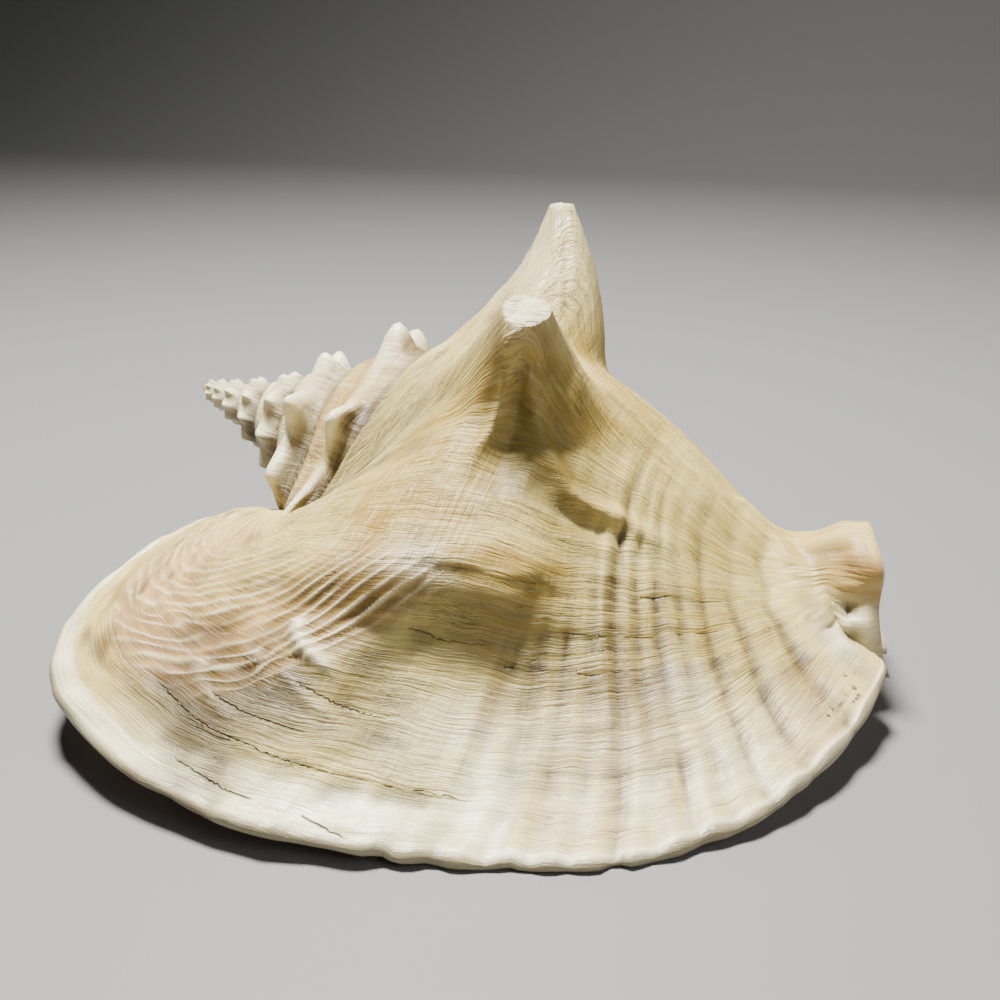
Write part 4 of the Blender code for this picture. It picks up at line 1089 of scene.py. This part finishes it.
def shell_material(name, lines, cream, pale):
    """Worn outside and porcelain inside of the shell, told apart by the mesh's own attributes."""
    material = bpy.data.materials.new(name)
    material.use_nodes = True
    tree = material.node_tree
    surface = tree.nodes["Principled BSDF"]

    def channels(key):
        """The three values that an attribute holds."""
        read = tree.nodes.new("ShaderNodeAttribute")
        read.attribute_name = key
        parts = tree.nodes.new("ShaderNodeSeparateColor")
        tree.links.new(read.outputs["Color"], parts.inputs[0])
        return list(parts.outputs)

    def times(first, second):
        """Product, kept from 0 to 1."""
        return math_node(tree, "MULTIPLY", first, second, clamp=True)

    def between(value, low, high):
        """The value, from 0 to 1, spread between low and high."""
        return math_node(tree, "ADD", math_node(tree, "MULTIPLY", value, high - low), low)

    ochre, brown_and_shade, peach = channels("stain_and_shade")
    dirt_and_shade, white, broken = channels("wear_and_shade")
    half_growth, threads, pitted = channels("detail")
    growth_strength = math_node(tree, "MULTIPLY", half_growth, 2.0)
    crack_side, crack_open, cord_share = channels("cracks")
    inner, corded = channels("porcelain")[:2]
    across_cord = math_node(tree, "FRACT", math_node(tree, "MULTIPLY_ADD", cord_share, CORDS_READ, 0.5))
    cord = times(thin_lines(tree, across_cord, 0.26), corded)
    cord_hollow = times(math_node(tree, "SUBTRACT", 1.0, thin_lines(tree, across_cord, 0.42)), corded)
    marks = tree.nodes.new("ShaderNodeGroup")
    marks.node_tree = lines
    tree.links.new(growth_strength, marks.inputs["Growth"])
    tree.links.new(threads, marks.inputs["Threads"])
    shade = marks.outputs["Growth Shade"]
    fine = marks.outputs["Fine Shade"]
    cloud = marks.outputs["Cloud"]

    # Ground with its growth lines, then stains and painted shade, chalk, cords, dirt and painted shade,
    # pits and cracks, and the porcelain last
    colour = mix_colour(tree, cloud, cream, pale)
    colour = mix_colour(tree, times(shade, 0.5), colour, IVORY)
    colour = mix_colour(tree, times(fine, 0.34), colour, OCHRE)
    colour = mix_colour(tree, times(ochre, between(fine, 0.6, 1.1)), colour, OCHRE)
    # Brown stains, partly painted shade
    colour = mix_colour(tree, times(brown_and_shade, between(shade, 0.35, 1.05)), colour, BROWN_AND_SHADE)
    colour = mix_colour(tree, times(peach, 0.8), colour, PEACH)
    colour = mix_colour(tree, times(white, between(cloud, 0.6, 1.0)), colour, CHALK)
    colour = mix_colour(tree, times(cord_hollow, between(shade, 0.15, 0.65)), colour, OCHRE)
    colour = mix_colour(tree, times(marks.outputs["Pale Threads"], 0.5), colour, CHALK)
    colour = mix_colour(tree, times(cord, 0.8), colour, CHALK)
    # Dirt, partly painted shade in hollows, creases, sutures and under the rim
    colour = mix_colour(tree, times(dirt_and_shade, 0.9), colour, DIRT_AND_SHADE)
    kept = math_node(tree, "SUBTRACT", 1.0, times(white, 0.75))
    colour = mix_colour(tree, times(times(marks.outputs["Dark Lines"], kept), 0.5), colour, DIRT_AND_SHADE)
    colour = mix_colour(tree, times(times(marks.outputs["Speck"], kept), 0.3), colour, BROWN_AND_SHADE)
    holes = times(pitted, marks.outputs["Pits"])
    colour = mix_colour(tree, holes, colour, CLEFT)
    uneven = math_node(tree, "MULTIPLY", math_node(tree, "SUBTRACT", fine, 0.5), 0.02)
    wavy_side = math_node(tree, "ADD", crack_side, uneven)
    cleft = times(thin_lines(tree, wavy_side, 0.055), ramp(tree, crack_open, 0.05, 0.45))
    colour = mix_colour(tree, times(cleft, 0.85), colour, CLEFT)
    colour = mix_colour(tree, inner, colour, mix_colour(tree, peach, PORCELAIN, ROSE))
    tree.links.new(colour, surface.inputs["Base Color"])

    # Chalky, rosy and porcelain places are smoother, and broken faces rougher
    rough = math_node(tree, "SUBTRACT", 0.45, math_node(tree, "MULTIPLY", white, 0.17))
    rough = math_node(tree, "ADD", rough, math_node(tree, "MULTIPLY", fine, 0.12))
    rough = math_node(tree, "ADD", rough, math_node(tree, "MULTIPLY", broken, 0.20))
    rough = math_node(tree, "SUBTRACT", rough, math_node(tree, "MULTIPLY", inner, 0.24))
    rough = math_node(tree, "SUBTRACT", rough, math_node(tree, "MULTIPLY", peach, 0.10))
    tree.links.new(rough, surface.inputs["Roughness"])
    bump = tree.nodes.new("ShaderNodeBump")
    bump.inputs["Strength"].default_value = 0.9
    bump.inputs["Distance"].default_value = 0.0012
    height = math_node(tree, "SUBTRACT", marks.outputs["Height"], math_node(tree, "MULTIPLY", cleft, 0.5))
    height = math_node(tree, "ADD", height, math_node(tree, "MULTIPLY", cord, 0.30))
    tree.links.new(height, bump.inputs["Height"])
    tree.links.new(bump.outputs[0], surface.inputs["Normal"])
    surface.inputs["IOR"].default_value = 1.52
    surface.inputs["Subsurface Weight"].default_value = 0.08
    surface.inputs["Subsurface Radius"].default_value = (0.004, 0.0022, 0.0011)
    surface.inputs["Subsurface Scale"].default_value = 1.0
    return material


def add_floor():
    """A plain grey floor that bends up into a plain backdrop."""
    across = np.array([-2.6, 2.6])
    turn = np.radians(np.linspace(0, 90, 16))
    y = np.concatenate([[-2.0], 1.3 + 0.6 * np.sin(turn), [1.9]])
    z = np.concatenate([[0.0], 0.6 - 0.6 * np.cos(turn), [2.4]])
    points = [(x, b, c) for b, c in zip(y, z) for x in across]
    faces = [(2 * k, 2 * k + 1, 2 * k + 3, 2 * k + 2) for k in range(len(y) - 1)]
    mesh = bpy.data.meshes.new("floor")
    mesh.from_pydata(points, [], faces)
    mesh.shade_smooth()
    floor = bpy.data.objects.new("floor", mesh)
    bpy.context.scene.collection.objects.link(floor)
    paint = bpy.data.materials.new("floor_paint")
    paint.use_nodes = True
    surface = paint.node_tree.nodes["Principled BSDF"]
    surface.inputs["Base Color"].default_value = FLOOR_COLOUR
    surface.inputs["Roughness"].default_value = 0.6
    mesh.materials.append(paint)


def add_light(name, place, size, power, colour):
    """A round lamp that shines at the shell."""
    data = bpy.data.lights.new(name, "AREA")
    data.shape = "DISK"
    data.size = size
    data.energy = power
    data.color = colour
    lamp = bpy.data.objects.new(name, data)
    lamp.location = place
    lamp.rotation_euler = (Vector(LAMP_AIM) - Vector(place)).to_track_quat("-Z", "Y").to_euler()
    bpy.context.scene.collection.objects.link(lamp)


def add_camera():
    """Seen from the lip's side, from a little to the right and above."""
    turn = np.radians(CAMERA_TURN)
    down = np.radians(CAMERA_DOWN)
    look = Vector((-np.sin(turn) * np.cos(down), np.cos(turn) * np.cos(down), -np.sin(down)))
    data = bpy.data.cameras.new("camera")
    data.sensor_width = 36.0
    data.lens = CAMERA_LENS
    data.clip_start = 0.01
    camera = bpy.data.objects.new("camera", data)
    camera.location = ((APEX + np.array(CAMERA_PLACE)) * MM).tolist()
    camera.rotation_euler = look.to_track_quat("-Z", "Y").to_euler()
    bpy.context.scene.collection.objects.link(camera)
    bpy.context.scene.camera = camera


def main():
    """Builds the shell's two pieces, then the floor and the lamps."""
    add_camera()
    lines = lines_group()
    outside = shell_material("weathered_shell", lines, CREAM, PALE_CREAM)
    older = shell_material("old_whorls", lines, OLD_CREAM, OLD_PALE)
    for piece, material in ((last_whorl(), outside), (spire(), older)):
        piece.data.materials.append(material)
        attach(piece, "root")
        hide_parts("conch_shell")
    add_floor()
    for name, place, size, power, colour in LAMPS:
        add_light(name, place, size, power, colour)
    world = bpy.data.worlds.new("room")
    world.use_nodes = True
    world.node_tree.nodes["Background"].inputs[0].default_value = ROOM_COLOUR
    world.node_tree.nodes["Background"].inputs[1].default_value = ROOM_LIGHT
    bpy.context.scene.world = world


main()
